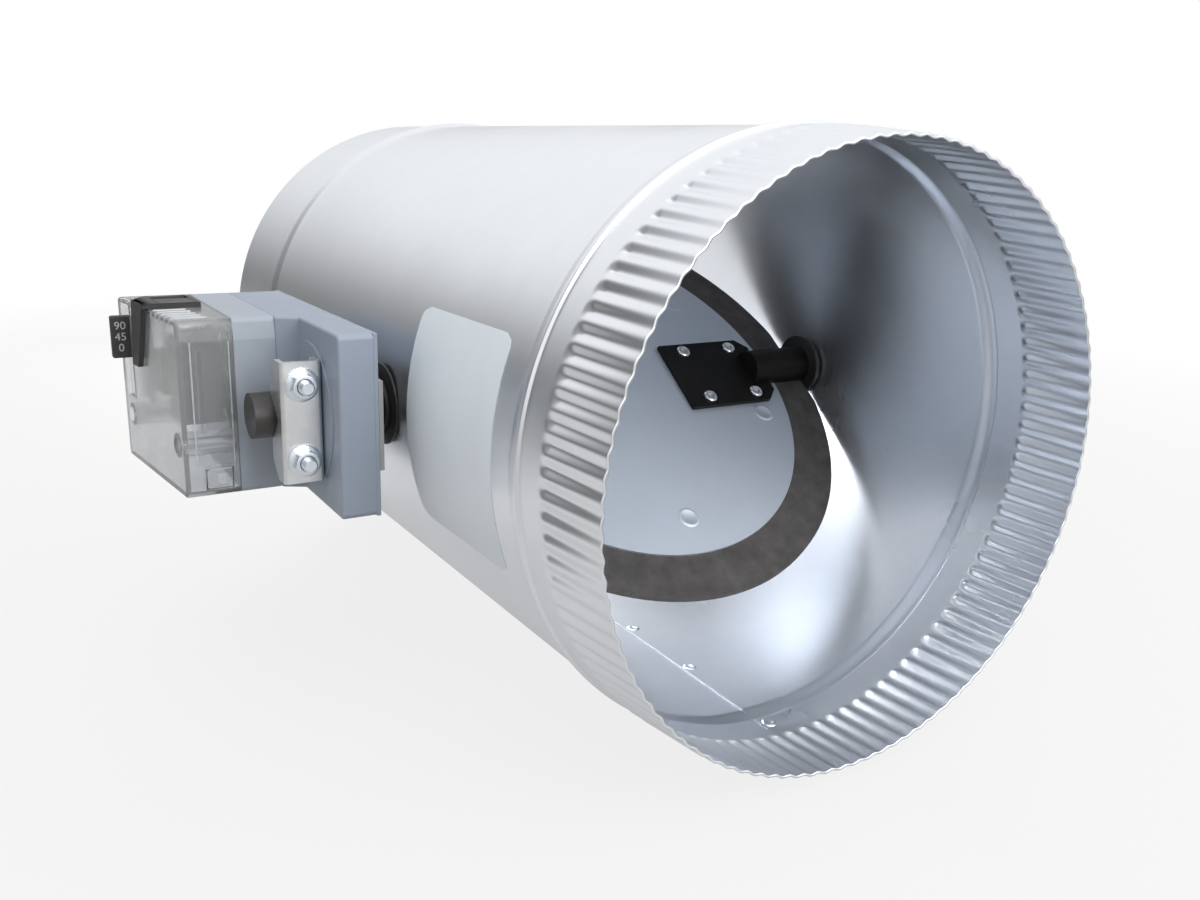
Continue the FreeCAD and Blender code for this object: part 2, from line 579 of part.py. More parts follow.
def middle_housing():
    """Ring between gear case and cover; its deck carries the circuit board and the screw bosses."""
    block = rounded("middle_corners", upper_block("middle_block", "case_rear", "middle_outer"),
                    size("case_round"), runs_out)
    hollow = out_slab("middle_room", "case_rear - 1", "middle_outer - case_wall",
                      ("upper_front + case_wall", "case_back - case_wall"),
                      ("-case_half + case_wall", "case_half - case_wall"))
    shell = cut("middle_shell", block, [hollow])
    additions = screw_columns("middle_boss", "screw_column_radius", "case_rear", "middle_outer")
    additions += board_posts("board_post", "board_post_radius", "middle_outer - 1", "board_inner")
    additions += board_posts("board_pin", "board_pin_radius", "middle_outer - 1", "board_outer + 0.6")
    holes = screw_columns("middle_screw_hole", "cover_screw_radius + running_gap", "case_rear + 2",
                          "middle_outer + 1")
    holes.append(rod("inlet_hole", "y", "grommet_radius + running_gap", "10",
                     ("-case_rear - grommet_radius - 1", "case_back - 5", "grommet_height")))
    sub_part("middle_housing", cut("middle_finish", join("middle_body", [shell] + additions), holes))


def clear_cover():
    """Clear cover with a sloping face, screw columns, windows for lever and cap and a raised frame."""
    block = meet("cover_square", [upper_block("cover_block", "middle_outer", "cover_outer"),
                                  sloped_block("cover_wedge", ("middle_outer", "middle_outer"), "0",
                                               ("upper_front", "case_back"), ("-case_half", "case_half"))])
    block = rounded("cover_corners", block, size("case_round"), runs_out)
    block = rounded("cover_edges", block, size("face_round"),
                    lambda box: box.XMax < -size("cover_front_outer") + 0.01)
    hollow = sloped_block("cover_room", ("middle_outer - 1", "middle_outer - 1"), "-cover_wall",
                          ("upper_front + cover_wall", "case_back - cover_wall"),
                          ("-case_half + cover_wall", "case_half - cover_wall"))
    columns = screw_columns("cover_column", "screw_column_radius", "middle_outer", "cover_outer + 1")
    additions = [meet("cover_columns", [block, join("cover_column_pair", columns)])]
    frame_out = "middle_outer + cover_wall"
    frame_low = "-case_half + cover_wall"
    frame = cut("cover_frame", out_slab("frame_outside", frame_out, frame_out + " + frame_width",
                                        ("upper_front - frame_rise", "upper_front + 0.5"),
                                        (frame_low, frame_low + " + frame_height")),
                [out_slab("frame_inside", frame_out + " + 1", frame_out + " + frame_width - 1",
                          ("upper_front - 1", "upper_front"),
                          (frame_low + " + 1", frame_low + " + frame_height - 1"))])
    rib = out_slab("cover_rib", frame_out + " + frame_width - 1", frame_out + " + frame_width + 0.5",
                   ("upper_front + 1", "upper_front + 2 * cover_wall"),
                   ("-screw_column_drop + 5", "case_half - 11"))
    shell = join("cover_shell", [cut("cover_hollow", block, [hollow]), frame, rib] + additions)
    holes = screw_columns("cover_screw_hole", "cover_screw_radius + running_gap", "middle_outer - 1",
                          "cover_outer + 1")
    holes += screw_columns("cover_head_seat", "cover_screw_head_radius + 2 * running_gap",
                           "screw_face - cover_screw_head_height - cover_screw_sink", "cover_outer + 1")
    holes.append(out_slab("lever_window", "lever_face - cover_wall - 1", "cover_outer + 1",
                          ("window_front", "window_back"), ("slot_bottom", "slot_top")))
    holes.append(out_slab("cap_slot", "guide_outer - cap_gauge - running_gap", "guide_outer + running_gap",
                          ("lever_y + lever_gauge - running_gap", "window_back + running_gap"),
                          ("case_half - cover_wall - 1", "case_half + 1")))
    sub_part("clear_cover", cut("cover_finish", shell, holes))


def cover_screws():
    heads = screw_columns("screw_head", "cover_screw_head_radius",
                          "screw_face - cover_screw_head_height - cover_screw_sink",
                          "screw_face - cover_screw_sink")
    shanks = screw_columns("screw_shank", "cover_screw_radius", "screw_face - cover_screw_length",
                           "screw_face - 1")
    recesses = screw_columns("screw_recess", "cover_screw_radius * 0.8", "screw_face - 1.2", "screw_face")
    screws = [cut("screw_%d" % number, join("screw_solid_%d" % number, [head, shank]), [recess])
              for number, (head, shank, recess) in enumerate(zip(heads, shanks, recesses), 1)]
    sub_part("cover_screws", group("both_cover_screws", screws))


def cap_and_lever():
    """Black cap hooked over the cover's top corner, its inner guide, and the lever that slides beside it."""
    reach = "cover_outer - cap_reach"
    high = "case_half + cap_gauge"
    top = sloped_block("cap_top", (reach, reach), "cap_gauge", ("cap_front", "cap_back"), ("case_half", high))
    low = "case_half - cap_drop"
    skirt = [("cap_front", high), ("window_front", high), ("window_front", low),
             ("cap_front + cap_taper", low)]
    side = meet("cap_side", [outline_body("cap_skirt", "YZ_Plane", skirt, "2 * cap_gauge + cover_slope",
                                          ("-cover_outer - cap_gauge", "0", "0")),
                             sloped_block("cap_sheet", (face_at("cap_front"), face_at("cap_back")),
                                          "cap_gauge", ("cap_front", "cap_back"), ("-case_half", high))])
    guide_inner = "guide_outer - cap_gauge"
    guide = out_slab("cap_guide", guide_inner, "guide_outer", ("window_front - 4", "window_back + 2"),
                     ("slot_bottom - 1.5", "case_half - cover_wall"))
    web = out_slab("cap_web", guide_inner, "guide_outer", ("lever_y + lever_gauge", "window_back"),
                   ("case_half - cover_wall", "case_half"))
    mark = out_slab("cap_mark", reach + " + cap_gauge", reach + " + cap_gauge + cap_mark_length",
                    ("cap_front + cap_mark_inset", "cap_front + cap_mark_inset + cap_mark_width"),
                    ("case_half + cap_gauge - cap_mark_depth", "case_half + cap_gauge + 1"))
    sub_part("terminal_cap", cut("cap_finish", join("cap_body", [top, side, guide, web]), [mark]))
    rise = ("lever_top - lever_height", "lever_top")
    tab = out_slab("lever_tab", "lever_face - lever_foot", "lever_face + lever_reach",
                   ("lever_y - lever_gauge / 2", "lever_y + lever_gauge / 2"), rise)
    foot = out_slab("lever_flange", "lever_face - lever_foot", "lever_face - cover_wall - 3 * slide_gap",
                    ("lever_y - lever_gauge / 2 - 3.5", "lever_y + lever_gauge / 2"), rise)
    sub_part("release_lever", join("lever_body", [tab, foot]))


def board_and_parts():
    board = out_slab("board_blank", "board_inner", "board_outer", ("board_front", "board_back"),
                     ("board_lower_edge", "board_top"))
    sub_part("circuit_board", cut("board", board, board_posts("board_hole", "board_pin_radius + running_gap",
                                                              "board_inner - 1", "board_outer + 1")))
    block_y = "board_front + 1.5 * board_post_inset"
    block_z = "board_lower_edge + 1"
    block = out_slab("block_body", "board_outer", "board_outer + block_height",
                     (block_y, block_y + " + block_length"),
                     (block_z, block_z + " + block_width"))
    poles = 4
    pockets = [out_rod("block_pocket_%d" % pole, "block_width / 14", "board_outer + block_height / 2",
                       "board_outer + block_height + 1", block_y + " + block_length * 0.3",
                       "%s + block_width * %g" % (block_z, (pole + 0.5) / poles)) for pole in range(poles)]
    entries = [rod("block_entry_%d" % pole, "y", "block_width / 12", "block_length / 3",
                   ("-board_outer - block_height * 0.45", block_y + " + block_length * 0.75",
                    "%s + block_width * %g" % (block_z, (pole + 0.5) / poles))) for pole in range(poles)]
    sub_part("terminal_block", cut("block", block, pockets + entries))
    relay_y = block_y + " + block_length + board_post_inset / 2"
    sub_part("relay", out_slab("relay_body", "board_outer", "board_outer + relay_height",
                               (relay_y, relay_y + " + relay_length"), ("0", "relay_width")))
    can = out_rod("can", "capacitor_radius", "board_outer", "board_outer + capacitor_height",
                  relay_y + " + capacitor_radius", "relay_width + capacitor_radius + 2")
    vent = out_rod("can_vent", "capacitor_radius * 0.7", "board_outer + capacitor_height - 0.4",
                   "board_outer + capacitor_height + 1", relay_y + " + capacitor_radius",
                   "relay_width + capacitor_radius + 2")
    sub_part("capacitor", cut("can_finish", can, [vent]))


def grommet():
    x = "-case_rear - grommet_radius - 1"
    z = "grommet_height"
    lip = rod("grommet_outer_lip", "y", "grommet_radius + grommet_lip", "grommet_lip", (x, "case_back", z))
    sleeve = rod("grommet_sleeve", "y", "grommet_radius", "case_wall + 2 * grommet_lip",
                 (x, "case_back - case_wall - grommet_lip", z))
    back = rod("grommet_inner_lip", "y", "grommet_radius + 0.8", "grommet_lip",
               (x, "case_back - case_wall - grommet_lip", z))
    hole = rod("cord_hole", "y", "cord_radius", "20", (x, "case_back - 10", z))
    sub_part("cable_grommet", cut("grommet", join("grommet_body", [lip, sleeve, back]), [hole]))


def dial_plate():
    plate = out_rod("dial_round", "dial_radius", "case_outer - dial_recess",
                    "case_outer - dial_recess + dial_gauge",
                    "shaft_y")
    side = out_slab("dial_side", "case_inner", "case_rear",
                    ("case_front", "upper_front - wedge_run - dial_gap - 0.1"),
                    ("-case_half", "case_half"))
    hole = out_rod("dial_hole", "hub_radius + dial_gap", "case_inner", "case_rear", "shaft_y")
    sub_part("position_dial", cut("dial", meet("dial_blank", [plate, side]), [hole]))


def involute(angle):
    return math.tan(angle) - angle


def gear_face(name, teeth, module, addendum, turn):
    """Involute tooth outline about the x axis; turn is where a tooth points, from +Y towards +Z."""
    pitch = teeth * module / 2
    base = pitch * math.cos(math.radians(20))
    tip = pitch + addendum * module
    root = pitch - 1.3 * module
    half = math.pi / (2 * teeth) - size("backlash") / 4 / pitch + involute(math.radians(20))
    flank = [(root, half)]
    for step in range(5):
        radius = max(base, root) + (tip - max(base, root)) * step / 4
        flank.append((radius, half - involute(math.acos(base / radius))))
    corners = []
    for tooth in range(teeth):
        middle = turn + 2 * math.pi * tooth / teeth
        outline = [(radius, middle - lean) for radius, lean in flank]
        outline += [(radius, middle + lean) for radius, lean in reversed(flank)]
        corners += [FreeCAD.Vector(0, radius * math.cos(angle), radius * math.sin(angle))
                    for radius, angle in outline]
    face = doc.addObject("Part::Feature", name)
    face.Shape = Part.Face(Part.makePolygon(corners + corners[:1]))
    return face


def gear_blank(name, face, inner, outer, y):
    blank = doc.addObject("Part::Extrusion", name)
    blank.Base = face
    blank.Dir = FreeCAD.Vector(1, 0, 0)
    blank.DirMode = "Custom"
    blank.Solid = True
    bind(blank, {"LengthFwd": "(%s) - (%s)" % (outer, inner)})
    return place(blank, ("-(%s)" % outer, y, "0"))


def gear_train():
    """Output gear with its hub, two-step idler and motor pinion, in mesh at the drawn pose."""
    module = size("gear_module")
    fine = size("wheel_module")
    output = gear_blank("output_blank",
                        gear_face("output_outline", int(size("output_teeth")), module, 0.75, 0),
                        "gear_layer", "gear_layer + gear_thickness", "shaft_y")
    hub = out_rod("output_hub", "hub_radius", "gear_layer", "clamp_inner", "shaft_y")
    bore = out_rod("output_bore", "shaft_radius + running_gap", "case_inner", "clamp_outer", "shaft_y")
    sub_part("output_gear", cut("output", join("output_solid", [output, hub]), [bore]))
    pinion_teeth = int(size("idler_pinion_teeth"))
    pinion = gear_blank("idler_pinion", gear_face("idler_pinion_outline", pinion_teeth, module, 1,
                                                  math.pi + math.pi / pinion_teeth),
                        "gear_layer", "wheel_layer + 0.5", "idler_y")
    wheel = gear_blank("idler_wheel",
                       gear_face("idler_wheel_outline", int(size("idler_wheel_teeth")), fine, 0.75, 0),
                       "wheel_layer", "wheel_layer + wheel_thickness", "idler_y")
    axle_bore = out_rod("idler_bore", "idler_axle_radius + running_gap", "case_inner", "case_rear", "idler_y")
    sub_part("idler_gear", cut("idler", join("idler_solid", [pinion, wheel]), [axle_bore]))
    sub_part("idler_axle",
             out_rod("axle", "idler_axle_radius", "case_inner + back_plate_gauge", "case_outer - 1",
                                   "idler_y"))
    small_teeth = int(size("motor_pinion_teeth"))
    small = gear_blank("motor_pinion_blank", gear_face("motor_pinion_outline", small_teeth, fine, 1,
                                                       math.pi + math.pi / small_teeth),
                       "wheel_layer", "wheel_layer + wheel_thickness", "motor_y")
    spindle = out_rod("motor_spindle", "motor_shaft_radius", "wheel_layer", "case_outer + 3", "motor_y")
    sub_part("motor_pinion", join("motor_pinion_solid", [small, spindle]))
    can = out_rod("motor_can", "motor_radius", "case_outer", "case_outer + motor_length", "motor_y")
    seat = out_rod("spindle_seat", "motor_shaft_radius + running_gap", "case_outer - 1", "case_outer + 4",
                   "motor_y")
    sub_part("drive_motor", cut("motor", can, [seat]))


def toothed_flange(name, inner):
    """Side of the saddle: its V notch rests on the shaft and is cut with teeth that bite into it."""
    teeth = int(size("clamp_teeth"))
    half = "clamp_height / 2"
    upper = []
    for tooth in range(teeth):
        tip = "(clamp_back - notch_apex) * %d / clamp_teeth" % tooth
        root = "(clamp_back - notch_apex) * %g / clamp_teeth" % (tooth + 0.5)
        bite = "tooth_depth / sqrt(2)"
        upper.append(("notch_apex + " + tip, tip))
        upper.append(("notch_apex + %s - %s" % (root, bite), "%s + %s" % (root, bite)))
    upper.append(("clamp_back", "clamp_back - notch_apex"))
    upper.append(("clamp_back", half + " - clamp_shoulder"))
    upper.append(("clamp_back - clamp_shoulder", half))
    upper.append(("clamp_web", half))
    lower = [(y, "-(%s)" % z) for y, z in reversed(upper[1:])]
    return outline_body(name, "YZ_Plane", upper + lower, "clamp_gauge",
                        ("-(%s) - clamp_gauge" % inner, "0", "0"))


def clamp_saddle():
    web = out_slab("saddle_web", "clamp_inner", "clamp_outer", ("clamp_web", "clamp_web + clamp_gauge"),
                   ("-clamp_height / 2", "clamp_height / 2"))
    flanges = [toothed_flange("saddle_inner_flange", "clamp_inner"),
               toothed_flange("saddle_outer_flange", "clamp_outer - clamp_gauge")]
    holes = [rod("saddle_hole_%d" % (sign + 2), "y", "bolt_radius + running_gap", "10",
                 ("-clamp_mid", "clamp_web - 5", "%d * bolt_half_spacing" % sign)) for sign in (-1, 1)]
    pressed = cut("saddle_blank", join("saddle_bent", [web] + flanges), holes)
    front = size("clamp_web")
    sub_part("clamp_saddle", rounded("saddle_rounded", pressed, size("clamp_bend"), lambda box:
                                     box.YMax < front + 0.01 and box.ZLength > size("clamp_height") - 1))


def clamp_bolt_and_nuts():
    ring = doc.addObject("Part::Torus", "bolt_ring")
    bind(ring, {"Radius1": "bolt_half_spacing", "Radius2": "bolt_radius"})
    place(ring, ("-clamp_mid", "bolt_bend_y", "0"), ALONG_X)
    half = slab("bolt_half_space", ("-clamp_outer", "-clamp_inner"), ("bolt_bend_y", "upper_front"),
                ("-clamp_height", "clamp_height"))
    legs = [rod("bolt_leg_%d" % (sign + 2), "y", "bolt_radius", "bolt_bend_y - clamp_web + bolt_overhang",
                ("-clamp_mid", "clamp_web - bolt_overhang", "%d * bolt_half_spacing" % sign))
            for sign in (-1, 1)]
    sub_part("clamp_u_bolt", join("u_bolt", [meet("bolt_bend", [ring, half])] + legs))
    nuts = []
    for sign in (-1, 1):
        z = "%d * bolt_half_spacing" % sign
        flange = rod("nut_flange_%d" % (sign + 2), "y", "nut_flange_radius", "nut_flange_height",
                     ("-clamp_mid", "clamp_web - nut_flange_height", z))
        hexagon = doc.addObject("Part::Prism", "nut_hexagon_%d" % (sign + 2))
        hexagon.Polygon = 6
        bind(hexagon, {"Circumradius": "nut_flats / 2 / cos(30 * 1 deg)", "Height": "nut_height"})
        place(hexagon, ("-clamp_mid", "clamp_web - nut_height", z), ALONG_Y)
        crown = cone("nut_crown_%d" % (sign + 2), "y", "nut_flats / 2 - 0.1",
                     "nut_flats / 2 + nut_height - 0.1",
                     "nut_height", ("-clamp_mid", "clamp_web - nut_height", z))
        thread = rod("nut_thread_%d" % (sign + 2), "y", "bolt_radius + running_gap / 2", "20",
                     ("-clamp_mid", "clamp_web - 10", z))
        top = meet("nut_top_%d" % (sign + 2), [hexagon, crown])
        nuts.append(cut("nut_%d" % (sign + 2), join("nut_solid_%d" % (sign + 2), [flange, top]), [thread]))
    sub_part("clamp_nuts", group("both_nuts", nuts))


def strap_and_fasteners():
    """Steel strap behind the gear case, cranked down to a curved foot that is riveted to the barrel."""
    sides = ("-strap_width / 2", "strap_width / 2")
    plate = out_slab("strap_plate", "strap_inner", "case_inner", ("case_front", "strap_end"), sides)
    riser = out_slab("strap_riser", "duct_radius - 5", "case_inner", ("strap_end - strap_gauge", "strap_end"),
                     sides)
    foot = meet("strap_foot", [
        rod("strap_foot_round", "y", "duct_radius + strap_gauge", "strap_foot_length + strap_gauge",
            ("0", "strap_end - strap_gauge", "0")),
        out_slab("strap_foot_side", "duct_radius / 2", "case_inner",
                 ("strap_end - strap_gauge", "strap_end + strap_foot_length"), sides)])
    holes = [rod("strap_wall_space", "y", "duct_radius", "duct_length", ("0", "-duct_length", "0")),
             out_rod("strap_shaft_hole", "bushing_radius", "duct_radius", "case_outer", "shaft_y"),
             out_rod("strap_screw_hole", "tail_screw_radius + running_gap", "duct_radius", "case_outer",
                     "tail_screw_y")]
    holes += strap_rods("strap_foot_hole", "strap_rivet_radius + running_gap", "duct_radius - 5", "20")
    sub_part("standoff_strap", cut("strap", join("strap_blank", [plate, riser, foot]), holes))
    stems = strap_rods("strap_rivet_stem", "strap_rivet_radius", "duct_bore - strap_head_height",
                       "sheet_gauge + strap_gauge + 2 * strap_head_height")
    heads = strap_rods("strap_rivet_head", "strap_head_radius", "duct_radius + strap_gauge",
                       "strap_head_height")
    tails = strap_rods("strap_rivet_tail", "strap_rivet_radius * 1.5", "duct_bore - strap_head_height",
                       "strap_head_height - 0.06")
    rivets = [join("strap_rivet_%d" % number, list(parts))
              for number, parts in enumerate(zip(stems, heads, tails), 1)]
    sub_part("strap_rivets", group("both_strap_rivets", rivets))
    head = out_rod("tail_screw_head", "tail_screw_head_radius", "strap_inner - tail_screw_head_height",
                   "strap_inner",
                   "tail_screw_y")
    shank = out_rod("tail_screw_shank", "tail_screw_radius", "strap_inner - 1",
                    "case_inner + tail_screw_depth",
                    "tail_screw_y")
    cross = out_slab("tail_screw_cross", "strap_inner - tail_screw_head_height - 1", "strap_inner - 1.2",
                     ("tail_screw_y - 0.6", "tail_screw_y + 0.6"),
                     ("-tail_screw_radius", "tail_screw_radius"))
    sub_part("tail_screw", cut("tail_screw_solid", join("tail_screw_blank", [head, shank]), [cross]))


duct_barrel()
blade_layers()
for bracket_label, bracket_side in (("drive_side_blade_bracket", -1), ("far_side_blade_bracket", 1)):
    blade_bracket(bracket_label, bracket_side)
bracket_rivets()
shaft("drive_shaft", -1, "shaft_end")
shaft("stub_shaft", 1, "(duct_radius + stub_overhang)")
bushing("drive_side_bushing", -1)
bushing("far_side_bushing", 1)
retainers()
gear_case()
back_plate()
middle_housing()
clear_cover()
cover_screws()
cap_and_lever()
board_and_parts()
grommet()
dial_plate()
gear_train()
clamp_saddle()
clamp_bolt_and_nuts()
strap_and_fasteners()


def check_and_export():
    """Stop on any failed object or bad shape, then write one file for each sub-part."""
    doc.recompute()
    for thing in doc.Objects:
        if "Invalid" in thing.State or "Error" in thing.State:
            raise RuntimeError("%s did not build: %s" % (thing.Name, thing.State))
    for thing in finished:
        if thing.Shape.isNull() or not thing.Shape.isValid() or not thing.Shape.Solids:
            raise RuntimeError("%s has no good solid" % thing.Label)
    os.makedirs("parts", exist_ok=True)
    for thing in finished:
        thing.Shape.exportStep(os.path.join("parts", thing.Label + ".step"))
        print(thing.Label, len(thing.Shape.Solids), round(thing.Shape.Volume / 1000, 3))


check_and_export()
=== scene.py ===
import math

import bmesh
import bpy
from mathutils import Matrix, Vector


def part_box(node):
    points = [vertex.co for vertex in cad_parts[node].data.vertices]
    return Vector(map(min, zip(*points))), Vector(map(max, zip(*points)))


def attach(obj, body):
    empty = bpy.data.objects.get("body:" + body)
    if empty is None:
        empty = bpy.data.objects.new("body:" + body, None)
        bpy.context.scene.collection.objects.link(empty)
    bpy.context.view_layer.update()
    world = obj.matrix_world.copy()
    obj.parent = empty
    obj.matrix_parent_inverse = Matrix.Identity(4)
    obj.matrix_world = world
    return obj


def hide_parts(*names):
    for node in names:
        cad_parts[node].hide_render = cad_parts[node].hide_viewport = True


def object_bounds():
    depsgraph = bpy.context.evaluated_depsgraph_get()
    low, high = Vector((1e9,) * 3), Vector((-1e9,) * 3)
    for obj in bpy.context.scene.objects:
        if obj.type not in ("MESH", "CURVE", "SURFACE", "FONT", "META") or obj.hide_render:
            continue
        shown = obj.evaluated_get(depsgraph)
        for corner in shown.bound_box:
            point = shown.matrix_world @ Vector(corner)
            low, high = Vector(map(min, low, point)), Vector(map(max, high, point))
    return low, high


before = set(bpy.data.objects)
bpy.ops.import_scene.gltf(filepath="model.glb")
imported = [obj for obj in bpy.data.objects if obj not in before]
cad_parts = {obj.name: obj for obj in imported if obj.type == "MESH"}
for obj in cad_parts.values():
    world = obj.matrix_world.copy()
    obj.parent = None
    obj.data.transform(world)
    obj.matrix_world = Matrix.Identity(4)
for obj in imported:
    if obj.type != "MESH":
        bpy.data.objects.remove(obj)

cad_low, cad_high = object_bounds()

# Barrel in metres: Y runs from the crimped rim at -LENGTH to the plain end at 0.
RADIUS = 0.1015
GAUGE = 0.0008
LENGTH = 0.3605
BAND = RADIUS + 0.0013
COLLAR = BAND - 0.0010
BEAD_HEIGHT = 0.0013
BEAD_TOP = -0.0590
BEAD_RISE = (-0.0655, BEAD_TOP)
BEAD_FALL = (-0.0566, BEAD_TOP)

# Crimps and the band's crest, by their distance from the crimped rim.
CRIMPS = 100
CRIMP_RUN = 0.0298
CRIMP_START = 0.0042
CRIMP_DEPTH = 0.0013
CRIMP_FADE = 0.0007
RIM_DROP = 0.00225
TAPER_START = 0.1
CREST_RISE = (0.0402, 0.0413)
CREST_FALL = (0.0420, 0.0480)

# One crimp's profile, as shares of the pitch.
VALLEY_PLACE = 0.73
VALLEY_HALF = 0.06
VALLEY_FLANK = 0.36

# Rings of the barrel's mesh as (distance from the crimped rim, spacing, number), close where the sheet bends.
RING_ROWS = [(0.0, 0.0003, 2), (0.0012, 0.0012, 23), (0.0258, 0.0005, 28), (0.0400, 0.00015, 14),
             (0.0424, 0.0004, 17), (0.0505, 0.0062, 40), (0.2905, 0.0006, 25)]
END_RINGS = [-0.055, -0.045, -0.035, -0.025, -0.015, -0.006, -0.0004, 0.0]
STEPS_PER_CRIMP = 10

# Lapped seam at the bottom of the bore; its turn in degrees is counted from -X towards +Z.
SEAM_TURN = 268.9
SEAM_HALF_TURN = 5.15
SEAM_NEAR = -0.3294
SEAM_FAR = -0.0632
SEAM_FADE = 0.006
SEAM_SHEET = 0.0005
SEAM_GAP = 0.00005
SEAM_COLUMNS = 11

# Label on the side of the barrel, with its turns counted in the same way.
LABEL_NEAR, LABEL_FAR = -0.3010, -0.2345
LABEL_TURNS = (-21, 22.5)
LABEL_CORNER = 0.005
LABEL_GAP = 0.00003
LABEL_THICKNESS = 0.00012

# Blade, drawn flat about the shaft's line and then tilted; heights are from the plane through that line.
SHAFT_Y = -0.2117
TILT = math.radians(36.5)
BLADE_FRONT = -0.0023
BLADE_PACK = 0.0046
CLINCH_REACH = 0.069
CLINCH_ANGLES = (-90, -20, 40, 90, 140, 200)
RIVET_ALONG = (0.0408, 0.0657)
RIVET_ACROSS = 0.0132

# Clamp on the shaft's end: the saddle's web, the U-bolt and its nuts.
CLAMP_X = -0.1363
CLAMP_WEB = -0.2286
BOLT_BEND_Y = -0.21442
BOLT_HALF = 0.0132
BOLT_RADIUS = 0.0025
BOLT_TIP = 0.0019
BOLT_TIP_SLOPE = 0.9
BOLT_PAST_WEB = 0.0075
THREAD_PITCH = 0.0008
THREAD_DEPTH = 0.0003
THREAD_RUN = 0.0176
THREAD_RING = 0.0002
THREAD_RINGS = 90
NUT_HALF_FLATS = 0.0040
NUT_FLANGE = 0.0058

# Clear cover, its ribs, the cap on its corner and the lever.
COVER_LEAN = 7.8 / 70.3
RIBS = 5
RIB_FIRST = -0.1905
RIB_PITCH = 0.0052
RIB_HALF = 0.0010
RIB_HEIGHT = 0.00055
RIB_SUNK = 0.0002
RIB_STEPS = 8
CAP_THICKNESS = 0.0020
CAP_PAST_COVER = 0.0019
LEVER_FRONT = -0.1412
DIGIT_HEIGHT = 0.0042

CAMERA_PLACE = (-0.2389, -0.5829, 0.0915)
CAMERA_AZIMUTH = math.radians(-31.95)
CAMERA_ELEVATION = math.radians(15.37)
CAMERA_ROLL = math.radians(1.84)
CAMERA_LENS = 32.574

# Each lamp's place, aim, width, height and power.
LAMPS = {
    "key": ((-0.15, -0.8, 1.5), (0, -0.18, 0), 2.3, 1.7, 12.5),
    "fill": ((0.4, -1.5, 0.6), (0, -0.2, 0), 0.9, 0.9, 12),
    "back": ((0.22, 0.5, 0.0), (0, -0.18, 0), 0.26, 0.26, 9),
}
FLOOR_HALF = 6.0
FLOOR_GAP = 0.0005


def new_material(name):
    material = bpy.data.materials.new(name)
    material.use_nodes = True
    tree = material.node_tree
    shader = tree.nodes["Principled BSDF"]
    return material, tree, shader


def node(tree, kind, values=None, settings=None):
    made = tree.nodes.new(kind)
    for key, value in (settings or {}).items():
        setattr(made, key, value)
    for key, value in (values or {}).items():
        made.inputs[key].default_value = value
    return made


def object_point(tree, stretch=(1.0, 1.0, 1.0)):
    """Object coordinates in millimetres, stretched on each axis."""
    coordinates = node(tree, "ShaderNodeTexCoord")
    mapping = node(tree, "ShaderNodeMapping", {"Scale": tuple(1000.0 * s for s in stretch)})
    tree.links.new(coordinates.outputs["Object"], mapping.inputs["Vector"])
    return mapping.outputs["Vector"]


def noise(tree, point, scale, detail=3.0, rough=0.5):
    made = node(tree, "ShaderNodeTexNoise", {"Scale": scale, "Detail": detail, "Roughness": rough})
    tree.links.new(point, made.inputs["Vector"])
    return made.outputs["Fac"]


def spread(tree, value, low, high, start=0.3, end=0.7):
    """Map a value's range from start to end onto low to high."""
    made = node(tree, "ShaderNodeMapRange", {"From Min": start, "From Max": end, "To Min": low, "To Max": high})
    tree.links.new(value, made.inputs["Value"])
    return made.outputs["Result"]


def combine(tree, operation, first, second):
    made = node(tree, "ShaderNodeMath", settings={"operation": operation})
    tree.links.new(first, made.inputs[0])
    tree.links.new(second, made.inputs[1])
    return made.outputs["Value"]


def blend_colours(tree, factor, first, second):
    made = node(tree, "ShaderNodeMix", settings={"data_type": "RGBA"})
    made.inputs["A"].default_value = (*first, 1.0)
    made.inputs["B"].default_value = (*second, 1.0)
    tree.links.new(factor, made.inputs["Factor"])
    return made.outputs["Result"]


def bump(tree, shader, heights, strength, distance):
    """Chain several heights into the shader's normal."""
    last = None
    for height, share in heights:
        made = node(tree, "ShaderNodeBump", {"Strength": strength * share, "Distance": distance})
        tree.links.new(height, made.inputs["Height"])
        if last is not None:
            tree.links.new(last, made.inputs["Normal"])
        last = made.outputs["Normal"]
    tree.links.new(last, shader.inputs["Normal"])


def galvanised(name, colour, rough):
    """Zinc-coated sheet: faint spangle, cloudy roughness and the slight waviness of rolled metal."""
    material, tree, shader = new_material(name)
    point = object_point(tree)
    shader.inputs["Metallic"].default_value = 1.0
    cells = node(tree, "ShaderNodeTexVoronoi", {"Scale": 0.16, "Randomness": 1.0})
    tree.links.new(point, cells.inputs["Vector"])
    flake = node(tree, "ShaderNodeSeparateColor")
    tree.links.new(cells.outputs["Color"], flake.inputs["Color"])
    tint = spread(tree, flake.outputs[0], 0.0, 1.0, start=0.0, end=1.0)
    dark = tuple(0.985 * c for c in colour)
    tree.links.new(blend_colours(tree, tint, dark, colour), shader.inputs["Base Color"])
    cloud = noise(tree, point, scale=0.02)
    tree.links.new(spread(tree, cloud, rough - 0.03, rough + 0.04), shader.inputs["Roughness"])
    rolling = noise(tree, object_point(tree, (1.0, 0.10, 1.0)), scale=0.03, detail=2.0)
    grain = noise(tree, point, scale=2.6, detail=1.0)
    bump(tree, shader, [(rolling, 0.06), (grain, 0.035)], strength=0.5, distance=0.002)
    return material


